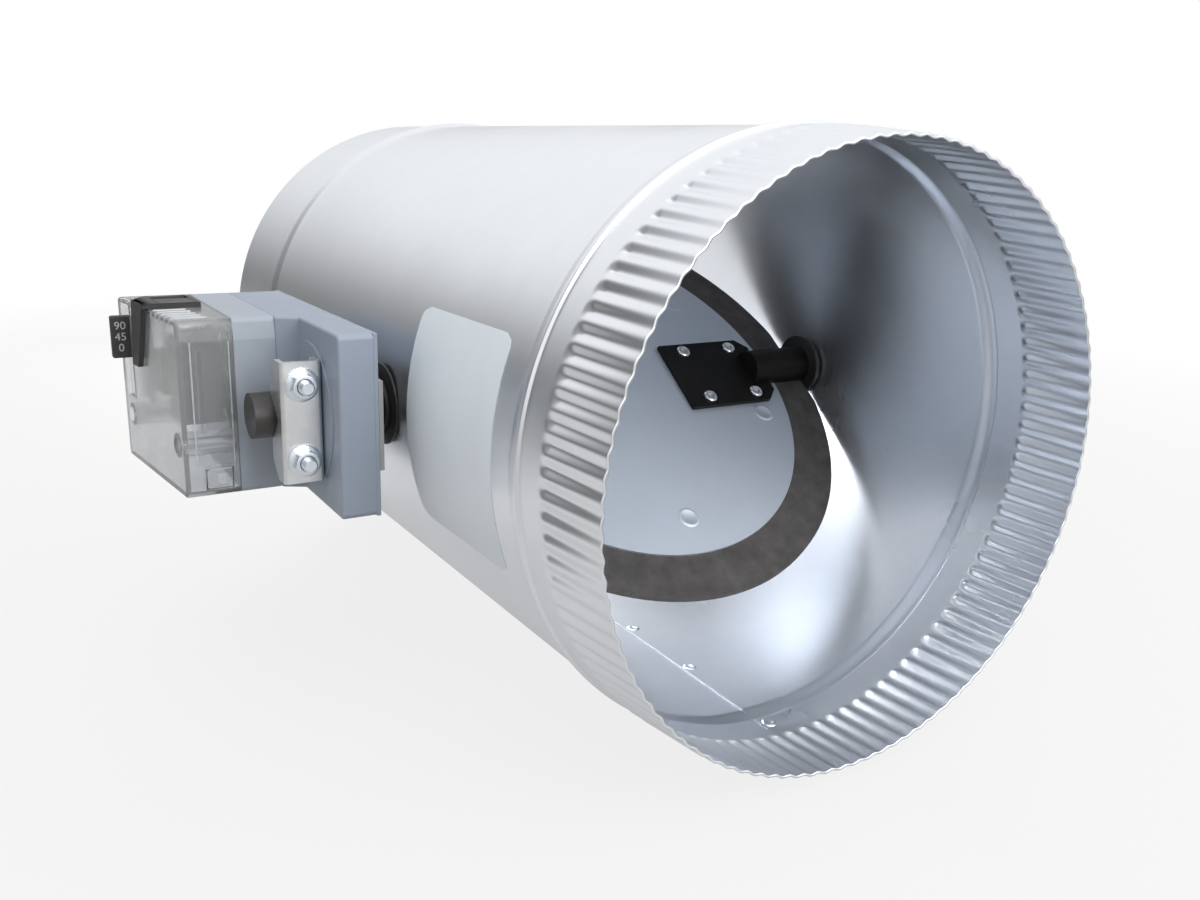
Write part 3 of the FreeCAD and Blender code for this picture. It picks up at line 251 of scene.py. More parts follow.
def plastic(name, colour, rough, grain_scale=2.2, grain=0.12, dirt=0.05, shine=0.5):
    """Moulded plastic with a fine matt grain and slightly uneven tone."""
    material, tree, shader = new_material(name)
    point = object_point(tree)
    tone = spread(tree, noise(tree, point, scale=0.03, detail=4.0, rough=0.6), 0.0, 1.0)
    dark = tuple(c * (1.0 - dirt) for c in colour)
    light = tuple(min(1.0, c * (1.0 + dirt)) for c in colour)
    tree.links.new(blend_colours(tree, tone, dark, light), shader.inputs["Base Color"])
    cloud = noise(tree, point, scale=0.2)
    tree.links.new(spread(tree, cloud, rough - 0.05, rough + 0.05), shader.inputs["Roughness"])
    shader.inputs["Specular IOR Level"].default_value = shine
    bump(tree, shader, [(noise(tree, point, grain_scale, detail=2.0), grain)], strength=0.5, distance=0.0004)
    return material


def plated(name, colour, rough):
    """Zinc-plated pressing with fine draw marks and small stains."""
    material, tree, shader = new_material(name)
    point = object_point(tree)
    shader.inputs["Metallic"].default_value = 1.0
    stain = spread(tree, noise(tree, point, scale=0.12), 0.0, 1.0, start=0.42, end=0.62)
    dark = tuple(0.92 * c for c in colour)
    tree.links.new(blend_colours(tree, stain, dark, colour), shader.inputs["Base Color"])
    cloud = noise(tree, point, scale=0.6, detail=4.0)
    tree.links.new(spread(tree, cloud, rough - 0.04, rough + 0.08), shader.inputs["Roughness"])
    marks = noise(tree, object_point(tree, (6.0, 1.0, 0.6)), scale=0.6)
    grain = noise(tree, point, scale=3.0, detail=2.0)
    bump(tree, shader, [(marks, 0.14), (grain, 0.05)], strength=0.5, distance=0.0004)
    return material


def foam():
    """Dark cellular foam."""
    material, tree, shader = new_material("foam_gasket")
    point = object_point(tree)
    cells = node(tree, "ShaderNodeTexVoronoi", {"Scale": 1.4})
    tree.links.new(point, cells.inputs["Vector"])
    tone = spread(tree, noise(tree, point, scale=0.12, detail=4.0, rough=0.65), 0.0, 1.0)
    dark, light = (0.058, 0.054, 0.053), (0.100, 0.094, 0.092)
    tree.links.new(blend_colours(tree, tone, dark, light), shader.inputs["Base Color"])
    shader.inputs["Roughness"].default_value = 0.85
    shader.inputs["Specular IOR Level"].default_value = 0.3
    lumps = noise(tree, point, scale=0.5)
    bump(tree, shader, [(cells.outputs["Distance"], 0.5), (lumps, 0.3)], strength=0.6, distance=0.0006)
    return material


def clear_plastic(name, colour, rough, through):
    """Clear moulding with a faint haze."""
    material, tree, shader = new_material(name)
    point = object_point(tree)
    haze = noise(tree, point, scale=0.08, detail=4.0, rough=0.6)
    shader.inputs["Base Color"].default_value = (*colour, 1.0)
    tree.links.new(spread(tree, haze, rough - 0.05, rough + 0.07), shader.inputs["Roughness"])
    shader.inputs["Transmission Weight"].default_value = through
    shader.inputs["IOR"].default_value = 1.45
    shader.inputs["Specular IOR Level"].default_value = 0.35
    bump(tree, shader, [(noise(tree, point, scale=0.25), 0.12)], strength=0.4, distance=0.0006)
    return material


STEEL = galvanised("galvanised_sheet", (0.875, 0.905, 0.95), 0.30)
DISC = galvanised("galvanised_disc", (0.63, 0.68, 0.75), 0.60)
# Standoff strap: galvanised sheet given a darker grey than the duct, as painted shade for the shadow it sits in
# beside the case.
SHADED_STRAP = galvanised("strap_with_painted_shade", (0.42, 0.42, 0.43), 0.42)
ZINC = plated("zinc_plate", (0.80, 0.82, 0.83), 0.32)
BOLT = plated("zinc_bolt", (0.80, 0.86, 0.92), 0.34)
CAN = plated("can_metal", (0.75, 0.75, 0.77), 0.25)
FOAM = foam()
# Brackets and stub shaft: black paint, darkened to almost pure black as painted shade for the shadow round the hub
# inside the duct.
BLACK_STEEL_AND_SHADE = plastic("black_steel_with_painted_shade", (0.005, 0.0045, 0.0045), 0.55, grain_scale=1.2, grain=0.2, shine=0.2)
SHAFT = plastic("blackened_shaft", (0.040, 0.036, 0.035), 0.42, grain_scale=1.2, grain=0.2)
BLACK = plastic("black_plastic", (0.020, 0.020, 0.021), 0.50)
CAP = plastic("cap_plastic", (0.060, 0.059, 0.060), 0.50, shine=0.22)
RUBBER = plastic("black_rubber", (0.02, 0.02, 0.02), 0.7)
PRINT = plastic("number_print", (0.55, 0.56, 0.58), 0.6)
PAPER = plastic("label_paper", (0.84, 0.91, 0.97), 0.42, grain_scale=1.0, grain=0.05, dirt=0.02)
CASE = plastic("case_grey", (0.29, 0.335, 0.41), 0.46)
HOUSING = plastic("housing_grey", (0.34, 0.38, 0.435), 0.44)
CLEAR = clear_plastic("smoky_clear", (0.80, 0.82, 0.84), 0.10, through=0.84)
FROST = clear_plastic("frosted_edge", (0.74, 0.77, 0.81), 0.30, through=0.40)
WHITE_GEAR = plastic("white_gear", (0.80, 0.79, 0.74), 0.4)
BOARD = plastic("board_green", (0.05, 0.16, 0.08), 0.35)
DARK = plastic("dark_plastic", (0.018, 0.018, 0.018), 0.5)

NODE_MATERIALS = {
    "duct_barrel": STEEL, "standoff_strap": SHADED_STRAP, "blade_front_disc": DISC, "blade_rear_disc": DISC,
    "blade_clinch_studs": DISC, "blade_gasket": FOAM, "drive_side_blade_bracket": BLACK_STEEL_AND_SHADE,
    "far_side_blade_bracket": BLACK_STEEL_AND_SHADE, "drive_shaft": SHAFT, "stub_shaft": BLACK_STEEL_AND_SHADE,
    "drive_side_bushing": BLACK, "far_side_bushing": BLACK, "bushing_retainers": BLACK, "terminal_cap": CAP,
    "release_lever": CAP, "cable_grommet": RUBBER, "clamp_saddle": ZINC, "clamp_u_bolt": BOLT,
    "clamp_nuts": BOLT, "cover_screws": BOLT, "tail_screw": BOLT, "strap_rivets": CAN,
    "blade_bracket_rivets": CAN, "gear_case": CASE, "case_back_plate": CASE, "position_dial": CASE,
    "middle_housing": HOUSING, "clear_cover": CLEAR, "output_gear": WHITE_GEAR, "idler_gear": WHITE_GEAR,
    "motor_pinion": WHITE_GEAR, "idler_axle": CAN, "drive_motor": CAN, "circuit_board": BOARD,
    "terminal_block": DARK, "relay": DARK, "capacitor": CAN,
}
BEVELS = {"terminal_block": 0.0003, "relay": 0.0004, "position_dial": 0.0003, "case_back_plate": 0.0002,
          "release_lever": 0.0005, "gear_case": 0.0004, "middle_housing": 0.0003, "circuit_board": 0.0002}


def soften_edges(piece, width, segments, angle):
    """Rounded edges with normals that keep the flat faces flat."""
    soften = piece.modifiers.new("soften", "BEVEL")
    soften.width = width
    soften.segments = segments
    soften.limit_method = "ANGLE"
    soften.angle_limit = math.radians(angle)
    shade = piece.modifiers.new("shade", "WEIGHTED_NORMAL")
    shade.keep_sharp = True


def dress(name, bevel):
    """Give a CAD node its material, and softened edges with smooth shading where it has a bevel."""
    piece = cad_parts[name]
    piece.data.materials.clear()
    piece.data.materials.append(NODE_MATERIALS[name])
    for face in piece.data.polygons:
        face.use_smooth = bevel > 0
    if not bevel:
        return
    weld = piece.modifiers.new("weld", "WELD")
    weld.merge_threshold = 0.000002
    soften_edges(piece, bevel, segments=2, angle=40)


def add_object(name, data):
    made = bpy.data.objects.new(name, data)
    bpy.context.scene.collection.objects.link(made)
    return made


def mesh_piece(name, corners, faces, material, body, crease=None):
    """New piece from corners and faces; edges sharper than the crease angle stay sharp."""
    build = bmesh.new()
    made = [build.verts.new(tuple(corner)) for corner in corners]
    for face in faces:
        build.faces.new([made[index] for index in face])
    bmesh.ops.remove_doubles(build, verts=build.verts, dist=1e-7)
    bmesh.ops.recalc_face_normals(build, faces=build.faces)
    mesh = bpy.data.meshes.new(name)
    build.to_mesh(mesh)
    build.free()
    piece = add_object(name, mesh)
    mesh.materials.append(material)
    mesh.shade_smooth()
    if crease is not None:
        mesh.set_sharp_from_angle(angle=math.radians(crease))
    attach(piece, body)
    return piece


def grid_faces(rings, count, loop=False):
    """Faces between closed rings of corners; a loop also joins the last ring to the first."""
    faces = []
    for ring in range(rings if loop else rings - 1):
        after = (ring + 1) % rings
        for step in range(count):
            side = (step + 1) % count
            faces.append((ring * count + step, ring * count + side, after * count + side, after * count + step))
    return faces


def turned(name, profile, spots, material, body, steps=32, loop=False, crease=35):
    """Profile of (radius, height) turned about an axis at each spot; a radius may be a function of the turn."""
    corners = []
    faces = []
    for origin, axis in spots:
        axis = Vector(axis).normalized()
        side = axis.orthogonal().normalized()
        over = axis.cross(side)
        first = len(corners)
        for radius, height in profile:
            for step in range(steps):
                turn = 2 * math.pi * step / steps
                reach = radius(turn) if callable(radius) else radius
                around = side * math.cos(turn) + over * math.sin(turn)
                corners.append(Vector(origin) + axis * height + around * reach)
        for face in grid_faces(len(profile), steps, loop):
            faces.append([first + index for index in face])
    return mesh_piece(name, corners, faces, material, body, crease)


def plate(name, near, far, columns, material, body):
    """Thin sheet between two equal grids of corners, closed round its edge."""
    count = len(near)
    lines = count // columns
    last = columns - 1
    faces = []
    for line in range(lines - 1):
        for step in range(last):
            for start in (line * columns + step, count + line * columns + step):
                faces.append([start, start + 1, start + columns + 1, start + columns])
    edge = list(range(last)) + [last + columns * line for line in range(lines - 1)]
    edge += [count - 1 - step for step in range(last)] + [columns * line for line in range(lines - 1, 0, -1)]
    for first, second in zip(edge, edge[1:] + edge[:1]):
        faces.append([first, second, count + second, count + first])
    return mesh_piece(name, near + far, faces, material, body, crease=60)


def rectangle(left, right, low, high):
    return [(left, low), (right, low), (right, high), (left, high)]


def prism(outline, low, high, axis):
    """Corners and faces of an outline pushed along an axis; the outline gives the other two coordinates."""
    corners = []
    for level in (low, high):
        for first, second in outline:
            spot = [first, second]
            spot.insert(axis, level)
            corners.append(spot)
    count = len(outline)
    faces = [list(range(count)), list(range(count, 2 * count))]
    for index in range(count):
        after = (index + 1) % count
        faces.append([index, after, count + after, count + index])
    return corners, faces


def moulded(name, parts, material, body, soften):
    """Several prisms under one name with softened edges."""
    corners = []
    faces = []
    for part_corners, part_faces in parts:
        faces += [[len(corners) + index for index in face] for face in part_faces]
        corners += part_corners
    piece = mesh_piece(name, corners, faces, material, body)
    soften_edges(piece, soften, segments=3, angle=30)
    return piece


def ramp(value, start, end):
    """0 at the start, 1 at the end, with an even rise between them."""
    share = min(1.0, max(0.0, (value - start) / (end - start)))
    return share * share * (3 - 2 * share)


def crimp_wave(turn):
    """0 on a ridge and 1 in a valley, with straight flanks."""
    gap = abs((turn * CRIMPS / (2 * math.pi)) % 1.0 - VALLEY_PLACE)
    gap = min(gap, 1.0 - gap)
    return 1.0 - min(1.0, max(0.0, (gap - VALLEY_HALF) / VALLEY_FLANK))


def barrel_station(y):
    """Outer radius of the ridges and depth of the crimps at a place along the duct."""
    run = y + LENGTH
    if run < CRIMP_RUN:
        along = CRIMP_RUN - run
        depth = ramp(along, 0.0, CRIMP_START) * (CRIMP_DEPTH - CRIMP_FADE * along / CRIMP_RUN)
        return COLLAR - RIM_DROP * max(0.0, (along / CRIMP_RUN - TAPER_START) / (1 - TAPER_START)), depth
    radius = COLLAR + (BAND - COLLAR) * ramp(run, *CREST_RISE) + (RADIUS - BAND) * ramp(run, *CREST_FALL)
    swell = ramp(y, *BEAD_RISE) if y < BEAD_TOP else ramp(y, *BEAD_FALL)
    return radius + BEAD_HEIGHT * swell, 0.0


def barrel():
    """Rolled sheet with crimps, band and bead; both faces, joined at the two rims."""
    stations = [first + spacing * step - LENGTH for first, spacing, number in RING_ROWS for step in range(number)]
    stations = sorted(set(round(y, 5) for y in stations + END_RINGS))
    count = CRIMPS * STEPS_PER_CRIMP
    corners = []
    outside = [(y, 0.0) for y in stations]
    inside = [(y, GAUGE) for y in reversed(stations)]
    for y, inward in outside + inside:
        radius, depth = barrel_station(y)
        for step in range(count):
            turn = 2 * math.pi * step / count
            reach = radius - depth * crimp_wave(turn) - inward
            corners.append((reach * math.cos(turn), y, reach * math.sin(turn)))
    faces = grid_faces(2 * len(stations), count, True)
    piece = mesh_piece("duct_sheet", corners, faces, STEEL, "duct")
    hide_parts("duct_barrel")


def lap_strip():
    """Edge of the sheet lapped along the bottom of the bore, thinning out toward the crimps."""
    stations = [SEAM_NEAR + 0.0006 * k for k in range(42)] + [-0.30, -0.25, -0.20, -0.15, -0.10, SEAM_FAR]
    low = math.radians(SEAM_TURN - SEAM_HALF_TURN)
    high = math.radians(SEAM_TURN + SEAM_HALF_TURN)
    layers = []
    for thickness in (0.0, SEAM_SHEET):
        corners = []
        for y in stations:
            inward = GAUGE + SEAM_GAP + thickness * ramp(y, SEAM_NEAR, SEAM_NEAR + SEAM_FADE)
            reach = barrel_station(y)[0] - inward
            for step in range(SEAM_COLUMNS):
                turn = low + (high - low) * step / (SEAM_COLUMNS - 1)
                corners.append((-reach * math.cos(turn), y, reach * math.sin(turn)))
        layers.append(corners)
    plate("lap_seam", *layers, SEAM_COLUMNS, STEEL, "duct")


def seam_rings():
    """Row of clinch rings that holds the lapped seam."""
    ring = [(0.0, 0.00015), (0.0008, 0.0002), (0.0013, 0.00055), (0.0019, 0.0006), (0.0024, 0.0004), (0.0027, 0.0)]
    aside = 0.004
    sunk = 0.0001
    spots = []
    for y in (-0.117, -0.157, -0.197, -0.237, -0.277, -0.3245):
        reach = barrel_station(y)[0] - GAUGE - SEAM_SHEET
        spots.append(((-aside, y, -math.sqrt(reach * reach - aside * aside) - sunk), (0.04, 0, 1)))
    turned("seam_clinch_rings", ring, spots, STEEL, "duct")


def on_blade(x, y, z):
    """Direction of the flat-drawn blade, tilted about the shaft's line."""
    return Vector((x, y * math.cos(TILT) - z * math.sin(TILT), y * math.sin(TILT) + z * math.cos(TILT)))


def blade_spot(x, y, z):
    """Point of the flat-drawn blade in its place on the shaft."""
    return on_blade(x, y, z) + Vector((0, SHAFT_Y, 0))


def clinches():
    """Round clinch marks that hold the blade's layers, with a raised ring round a dimple on both sides."""
    ring = [(0.0, 0.0001), (0.0027, 0.00012), (0.0031, 0.00032), (0.0036, 0.0004), (0.0041, 0.0003), (0.0045, 0.0)]
    neck = 0.0020
    profile = ring + [(neck, -0.0001), (neck, 0.0001 - BLADE_PACK)]
    profile += [(radius, -BLADE_PACK - height) for radius, height in reversed(ring)]
    spots = []
    for turn in map(math.radians, CLINCH_ANGLES):
        across, along = CLINCH_REACH * math.cos(turn), CLINCH_REACH * math.sin(turn)
        spots.append((blade_spot(across, along, BLADE_FRONT), on_blade(0, 0, 1)))
    piece = turned("clinch_marks", profile, spots, DISC, "blade")
    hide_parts("blade_clinch_studs")


def rivets():
    """Blind rivets of the blade's brackets: a flat ring round the broken mandrel, and the set tail behind."""
    mandrel = [(0.0, 0.0004), (0.0008, 0.0004), (0.00095, 0.0), (0.0013, 0.0)]
    head = [(0.00145, 0.0008), (0.0018, 0.0009), (0.0026, 0.0008), (0.0030, 0.0004), (0.0030, -0.0003)]
    tail = [(0.0016, -0.0003), (0.0016, -0.0069), (0.0024, -0.0069), (0.0024, -0.0078), (0.0020, -0.0081),
            (0.0, -0.0081)]
    spots = []
    for side in (-1, 1):
        for along in RIVET_ALONG:
            for across in (-RIVET_ACROSS, RIVET_ACROSS):
                spots.append((blade_spot(side * along, across, 0.0), on_blade(0, 0, 1)))
    piece = turned("blind_rivets", mandrel + head + tail, spots, CAN, "blade", steps=24)
    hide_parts("blade_bracket_rivets")


def thread_reach(run):
    """Radius of the U-bolt's leg at a distance from its tip: chamfer, rolled thread, then plain."""
    wave = abs((run / THREAD_PITCH) % 1.0 - 0.5) * 2
    reach = BOLT_RADIUS - THREAD_DEPTH * (1 - wave) if run < THREAD_RUN else BOLT_RADIUS
    return min(reach, BOLT_TIP + BOLT_TIP_SLOPE * run)


def u_bolt():
    """Threaded U-bolt swept along two legs and a half-round bend."""
    steps = 24
    leg = BOLT_PAST_WEB + BOLT_BEND_Y - CLAMP_WEB
    runs = [THREAD_RING * step for step in range(THREAD_RINGS)] + [leg - 0.001, leg]
    path = []
    for run in runs:
        path.append(((CLAMP_X, BOLT_BEND_Y - leg + run, BOLT_HALF), (0, 0, 1), thread_reach(run)))
    for step in range(1, steps):
        turn = math.pi * step / steps
        out = (0, math.sin(turn), math.cos(turn))
        path.append(((CLAMP_X, BOLT_BEND_Y + BOLT_HALF * out[1], BOLT_HALF * out[2]), out, BOLT_RADIUS))
    for spot, _, reach in reversed(path[:len(runs)]):
        path.append(((CLAMP_X, spot[1], -BOLT_HALF), (0, 0, -1), reach))
    corners = []
    for spot, out, reach in path:
        for step in range(steps):
            turn = 2 * math.pi * step / steps
            around = math.cos(turn) * Vector((1, 0, 0)) + math.sin(turn) * Vector(out)
            corners.append(Vector(spot) + reach * around)
    faces = grid_faces(len(path), steps)
    faces += [list(range(steps)), list(range(len(corners) - steps, len(corners)))]
    piece = mesh_piece("threaded_u_bolt", corners, faces, BOLT, "blade", crease=40)
    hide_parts("clamp_u_bolt")


def nuts():
    """Flanged hexagon nuts with a serrated flange and chamfered corners."""
    def hexagon(limit):
        def reach(turn):
            return min(limit, NUT_HALF_FLATS / math.cos((turn + math.pi / 6) % (math.pi / 3) - math.pi / 6))
        return reach

    def serrated(turn):
        return NUT_FLANGE + 0.0001 * math.cos(36 * turn)
    bore = 0.00255
    flange = [(bore, 0.0), (0.0052, 0.0), (serrated, 0.0002), (serrated, 0.0006), (0.0054, 0.0010),
              (0.0047, 0.0013)]
    flats = [(hexagon(1), 0.0014), (hexagon(1), 0.0034), (hexagon(0.0043), 0.0038), (hexagon(0.00395), 0.0043)]
    mouth = [(0.0035, 0.0044), (0.0029, 0.0044), (bore, 0.0041)]
    spots = [((CLAMP_X, CLAMP_WEB, side * BOLT_HALF), (0, -1, 0)) for side in (-1, 1)]
    piece = turned("flanged_nuts", flange + flats + mouth, spots, BOLT, "blade", steps=144, loop=True, crease=25)
    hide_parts("clamp_nuts")


def cover_face(y):
    """Distance out to the sloping face of the clear cover."""
    low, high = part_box("clear_cover")
    return -low.x - COVER_LEAN * (high.y - y)


def cover_ribs():
    """Low moulded ribs across the top of the cover, which round over its outer edge."""
    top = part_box("clear_cover")[1].z
    up, slanting, out = (0.0, 1.0), (-0.7, 0.7), (-1.0, 0.1)
    columns = RIB_STEPS + 1
    corners = []
    faces = []
    for rib in range(RIBS):
        y = RIB_FIRST + RIB_PITCH * rib
        edge = 0.0009 - cover_face(y)
        path = [(edge + 0.0125 - 0.0004 * rib, top - 0.0004, up), (edge + 0.0110, top, up),
                (edge + 0.0002, top, up), (edge - 0.0007, top - 0.0008, slanting),
                (edge - 0.0009, top - 0.0018, out), (edge - 0.0009, top - 0.0030, out)]
        first = len(corners)
        for place, (x, z, way) in enumerate(path):
            end = place in (0, len(path) - 1)
            wide = 0.0004 if end else RIB_HALF
            for step in range(columns):
                turn = math.pi * step / RIB_STEPS
                lift = (0.0 if end else RIB_HEIGHT * math.sin(turn)) - RIB_SUNK
                corners.append((x + way[0] * lift, y - wide * math.cos(turn), z + way[1] * lift))
        for place in range(len(path) - 1):
            for step in range(RIB_STEPS):
                near = first + columns * place + step
                faces.append([near, near + 1, near + columns + 1, near + columns])
    mesh_piece("cover_grip_ribs", corners, faces, FROST, "duct", crease=60)


def hooked_cap():
    """Cap over the cover's corner: a plate round its marking slot, a leaning skirt and the lever's inner guide."""
    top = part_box("clear_cover")[1].z
    high = top + CAP_THICKNESS
    front, hook, back = -0.1657, -0.1535, -0.1460
    slot_left, slot_right, slot_front, slot_back = -0.1690, -0.1560, -0.1532, -0.1478
    right = -0.1540
    left_side = [(slot_left, front), (-cover_face(front) - CAP_PAST_COVER, front),
                 (-cover_face(hook) - CAP_PAST_COVER, hook), (-0.1720, back), (slot_left, back)]
    parts = [prism(left_side, top, high, 2)]
    for bar in ((slot_left, slot_right, front, slot_front), (slot_left, slot_right, slot_back, back),
                (slot_right, right, front, back)):
        parts.append(prism(rectangle(*bar), top, high, 2))
    parts.append(prism(rectangle(slot_left, slot_right, slot_front, slot_back), top, top + 0.0008, 2))
    skirt_low = 0.0089
    skirt = [(front, high), (hook, high), (-0.1485, skirt_low), (-0.1557, skirt_low)]
    corners, faces = prism(skirt, 0.0, CAP_PAST_COVER, 0)
    parts.append(([(-cover_face(y) - lift, y, z) for lift, y, z in corners], faces))
    parts.append(prism(rectangle(-0.1457, -0.1297, -0.0075, top - 0.002), -0.1685, -0.1665, 0))
    piece = moulded("hooked_cap", parts, CAP, "duct", 0.00025)
    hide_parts("terminal_cap")


def front_frame():
    """Frosted marks moulded on the cover's front: a frame with a pad low down, and two upright strips."""
    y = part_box("middle_housing")[0].y - 0.0004
    raised = 0.0003
    left, right, low, high = -0.1626, -0.1530, -0.0289, -0.0214
    line = 0.0005
    frame_bars = [(left, right, low, low + line), (left, right, high - line, high), (left, left + line, low, high),
                  (right - line, right, low, high)]
    pad = (-0.1586, -0.1553, -0.0274, -0.0234)
    strips = [(-0.1655, -0.1650, -0.0200, 0.0240), (-0.1525, -0.1521, -0.0200, 0.0240)]
    parts = [prism(rectangle(*bar), y, y + raised, 1) for bar in frame_bars + [pad] + strips]
    moulded("frosted_frame", parts, FROST, "duct", 0.00008)


def push_nuts():
    """Dished washers that hold the bushings outside the barrel."""
    bore, rim = 0.01052, 0.0149
    ring = [(bore, 0.0), (bore, 0.0012), (0.0108, 0.0017), (0.0118, 0.0018), (0.0136, 0.0012), (rim, 0.0008),
            (rim, 0.0), (0.0136, 0.0004)]
    spots = [((side * (RADIUS + 0.00005), SHAFT_Y, 0), (side, 0, 0)) for side in (-1, 1)]
    piece = turned("bushing_washers", ring, spots, BLACK, "duct", steps=64, loop=True)
    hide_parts("bushing_retainers")


def lever_numbers():
    """Plain degree numbers on the lever's front face."""
    low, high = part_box("release_lever")
    data = bpy.data.curves.new("lever_numbers", "FONT")
    data.body = "90\n45\n0"
    data.align_x = "CENTER"
    data.size = DIGIT_HEIGHT
    data.space_line = 1.0
    data.extrude = 0.00004
    text = add_object("lever_digits", data)
    text.rotation_euler = (math.pi / 2, 0, 0)
    bpy.context.view_layer.update()
    mesh = bpy.data.meshes.new_from_object(text)
    middle_top = Matrix.Translation((low.x + 0.0032, LEVER_FRONT - 0.00002, high.z - 0.0050))
    mesh.transform(middle_top @ text.matrix_world)
    bpy.data.objects.remove(text)
    piece = add_object("lever_numbers", mesh)
    mesh.materials.clear()
    mesh.materials.append(PRINT)
    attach(piece, "lever")


def blank_label():
    """Blank paper label with rounded corners that lies on the barrel."""
    lines, columns = 41, 25
    turn_low, turn_high = map(math.radians, LABEL_TURNS)
    under = RADIUS + LABEL_GAP
    half_width = (turn_high - turn_low) * under / 2
    half_y = (LABEL_FAR - LABEL_NEAR) / 2
    layers = []
    for radius in (under, under + LABEL_THICKNESS):
        corners = []
        for line in range(lines):
            across = -half_width + 2 * half_width * line / (lines - 1)
            over = max(0.0, abs(across) - (half_width - LABEL_CORNER))
            reach = half_y - LABEL_CORNER + math.sqrt(max(0.0, LABEL_CORNER ** 2 - over ** 2))
            turn = (turn_low + turn_high) / 2 + across / under
            for column in range(columns):
                y = (LABEL_NEAR + LABEL_FAR) / 2 + reach * (2 * column / (columns - 1) - 1)
                corners.append((-radius * math.cos(turn), y, radius * math.sin(turn)))
        layers.append(corners)
    plate("blank_label", *layers, columns, PAPER, "duct")


def camera():
    data = bpy.data.cameras.new("camera")
    data.sensor_width = 36.0
    data.lens = CAMERA_LENS
    data.clip_start = 0.01
    data.clip_end = 50.0
    level_share = math.cos(CAMERA_ELEVATION)
    forward = Vector((-math.sin(CAMERA_AZIMUTH) * level_share, math.cos(CAMERA_AZIMUTH) * level_share,
                      -math.sin(CAMERA_ELEVATION)))
    level = forward.cross(Vector((0, 0, 1))).normalized()
    over = level.cross(forward)
    right = math.cos(CAMERA_ROLL) * level + math.sin(CAMERA_ROLL) * over
    up = -math.sin(CAMERA_ROLL) * level + math.cos(CAMERA_ROLL) * over
    made = add_object("camera", data)
    made.matrix_world = Matrix.Translation(CAMERA_PLACE) @ Matrix((right, up, -forward)).transposed().to_4x4()
    bpy.context.scene.camera = made


def lamp(name, place, aim, width, height, power):
    data = bpy.data.lights.new(name, "AREA")
    data.shape = "RECTANGLE"
    data.size = width
    data.size_y = height
    data.energy = power
    made = add_object(name, data)
    made.visible_camera = False
    made.location = place
    made.rotation_euler = (Vector(aim) - Vector(place)).to_track_quat("-Z", "Y").to_euler()


def seen_rays(tree, path):
    """1 for rays that show the background itself: from the camera or through clear plastic."""
    return combine(tree, "MAXIMUM", path.outputs["Is Camera Ray"], path.outputs["Is Transmission Ray"])


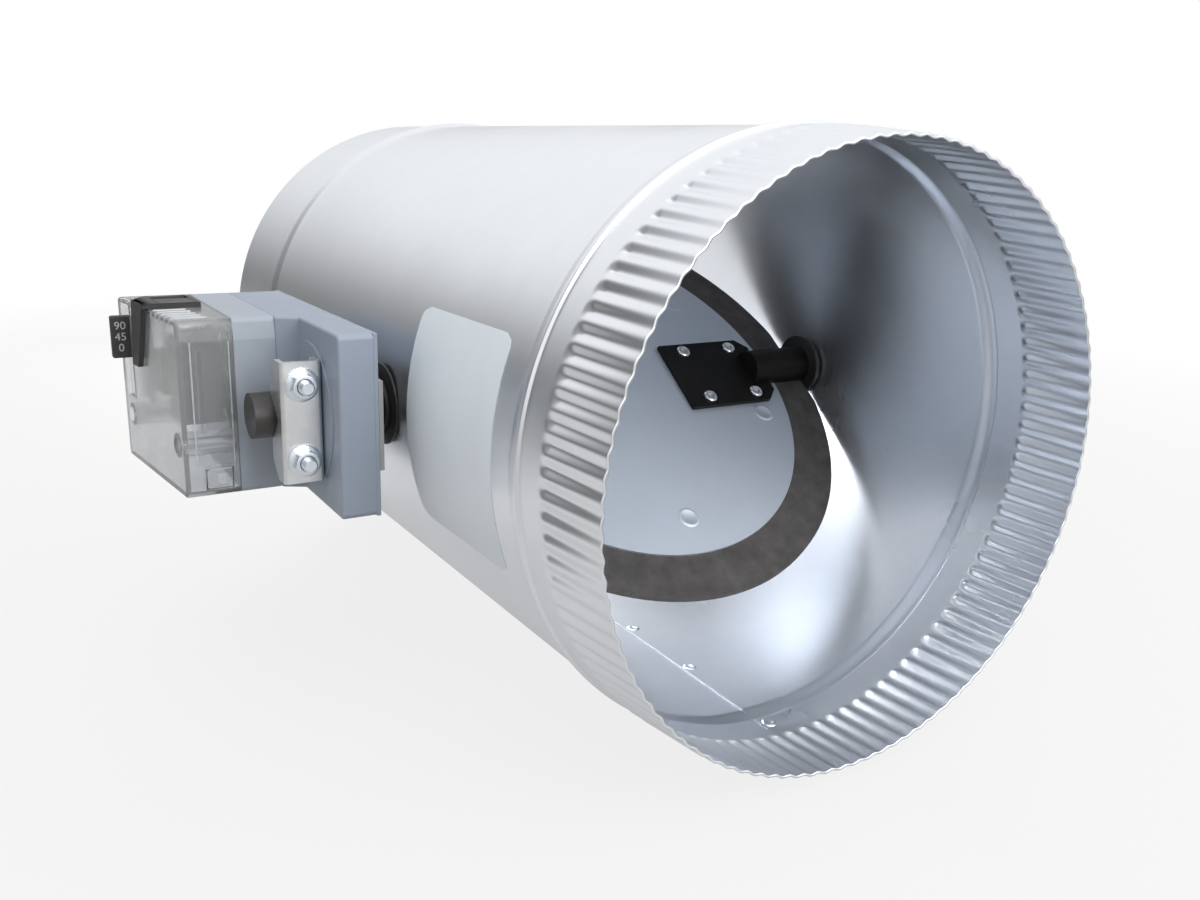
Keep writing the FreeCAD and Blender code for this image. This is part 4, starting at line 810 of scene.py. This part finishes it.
def studio():
    """White background, a plain ambient light, and for metal a sky that brightens upward and to the front."""
    world = bpy.data.worlds.new("studio")
    bpy.context.scene.world = world
    world.use_nodes = True
    tree = world.node_tree
    tree.nodes.clear()
    path = node(tree, "ShaderNodeLightPath")
    direction = node(tree, "ShaderNodeTexCoord")
    split = node(tree, "ShaderNodeSeparateXYZ")
    tree.links.new(direction.outputs["Generated"], split.inputs["Vector"])
    height = spread(tree, split.outputs["Z"], 0.14, 0.96, start=0.0, end=0.35)
    front = spread(tree, split.outputs["Y"], 0.11, 1.00, start=0.15, end=-0.6)
    side = spread(tree, split.outputs["X"], 1.0, 0.3, start=-0.34, end=-0.62)
    sky = combine(tree, "MAXIMUM", combine(tree, "MULTIPLY", height, side), front)
    soft = spread(tree, split.outputs["Z"], 0.45, 0.85, start=-0.1, end=0.9)
    glossy = node(tree, "ShaderNodeMix", settings={"data_type": "FLOAT"})
    tree.links.new(path.outputs["Is Glossy Ray"], glossy.inputs["Factor"])
    tree.links.new(soft, glossy.inputs["A"])
    tree.links.new(sky, glossy.inputs["B"])
    level = node(tree, "ShaderNodeMix", settings={"data_type": "FLOAT"})
    level.inputs["B"].default_value = 1.0
    tree.links.new(seen_rays(tree, path), level.inputs["Factor"])
    tree.links.new(glossy.outputs["Result"], level.inputs["A"])
    glow = node(tree, "ShaderNodeBackground", {"Color": (1.0, 1.0, 1.0, 1.0)})
    tree.links.new(level.outputs["Result"], glow.inputs["Strength"])
    output = node(tree, "ShaderNodeOutputWorld")
    tree.links.new(glow.outputs["Background"], output.inputs["Surface"])
    for name, settings in LAMPS.items():
        lamp(name, *settings)


def floor():
    """Pale floor with the object's faint shadow, which fades to the white background with distance, and a painted
    reflection: near the object it glows to reflected rays.
    """
    z = cad_low.z - FLOOR_GAP
    mesh = bpy.data.meshes.new("floor")
    mesh.from_pydata([(x, y, z) for x, y in rectangle(-FLOOR_HALF, FLOOR_HALF, -FLOOR_HALF, FLOOR_HALF)], [],
                     [(0, 1, 2, 3)])
    piece = add_object("floor", mesh)
    material, tree, shader = new_material("pale_floor")
    shader.inputs["Base Color"].default_value = (0.36, 0.35, 0.34, 1.0)
    shader.inputs["Roughness"].default_value = 0.9
    point = node(tree, "ShaderNodeTexCoord")
    far = node(tree, "ShaderNodeVectorMath", settings={"operation": "LENGTH"})
    tree.links.new(point.outputs["Object"], far.inputs[0])
    path = node(tree, "ShaderNodeLightPath")
    white = spread(tree, far.outputs["Value"], 0.82, 1.0, start=0.35, end=0.9)
    # Painted reflection: reflected rays see the floor glow, strongest near the object, so metal that faces down
    # shows a lit floor.
    shine = spread(tree, far.outputs["Value"], 0.5, 0.0, start=0.2, end=0.8)
    seen = combine(tree, "MULTIPLY", seen_rays(tree, path), white)
    painted_reflection_glow = combine(tree, "MULTIPLY", path.outputs["Is Glossy Ray"], shine)
    glow = node(tree, "ShaderNodeEmission", {"Color": (1.0, 1.0, 1.0, 1.0), "Strength": 1.0})
    mix = node(tree, "ShaderNodeMixShader")
    tree.links.new(combine(tree, "MAXIMUM", seen, painted_reflection_glow), mix.inputs["Fac"])
    tree.links.new(shader.outputs["BSDF"], mix.inputs[1])
    tree.links.new(glow.outputs["Emission"], mix.inputs[2])
    tree.links.new(mix.outputs["Shader"], tree.nodes["Material Output"].inputs["Surface"])
    mesh.materials.append(material)


for node_name in NODE_MATERIALS:
    dress(node_name, BEVELS.get(node_name, 0.0))
barrel()
lap_strip()
seam_rings()
clinches()
rivets()
u_bolt()
nuts()
cover_ribs()
hooked_cap()
front_frame()
push_nuts()
lever_numbers()
blank_label()
camera()
studio()
floor()
bpy.context.scene.view_settings.view_transform = "Standard"
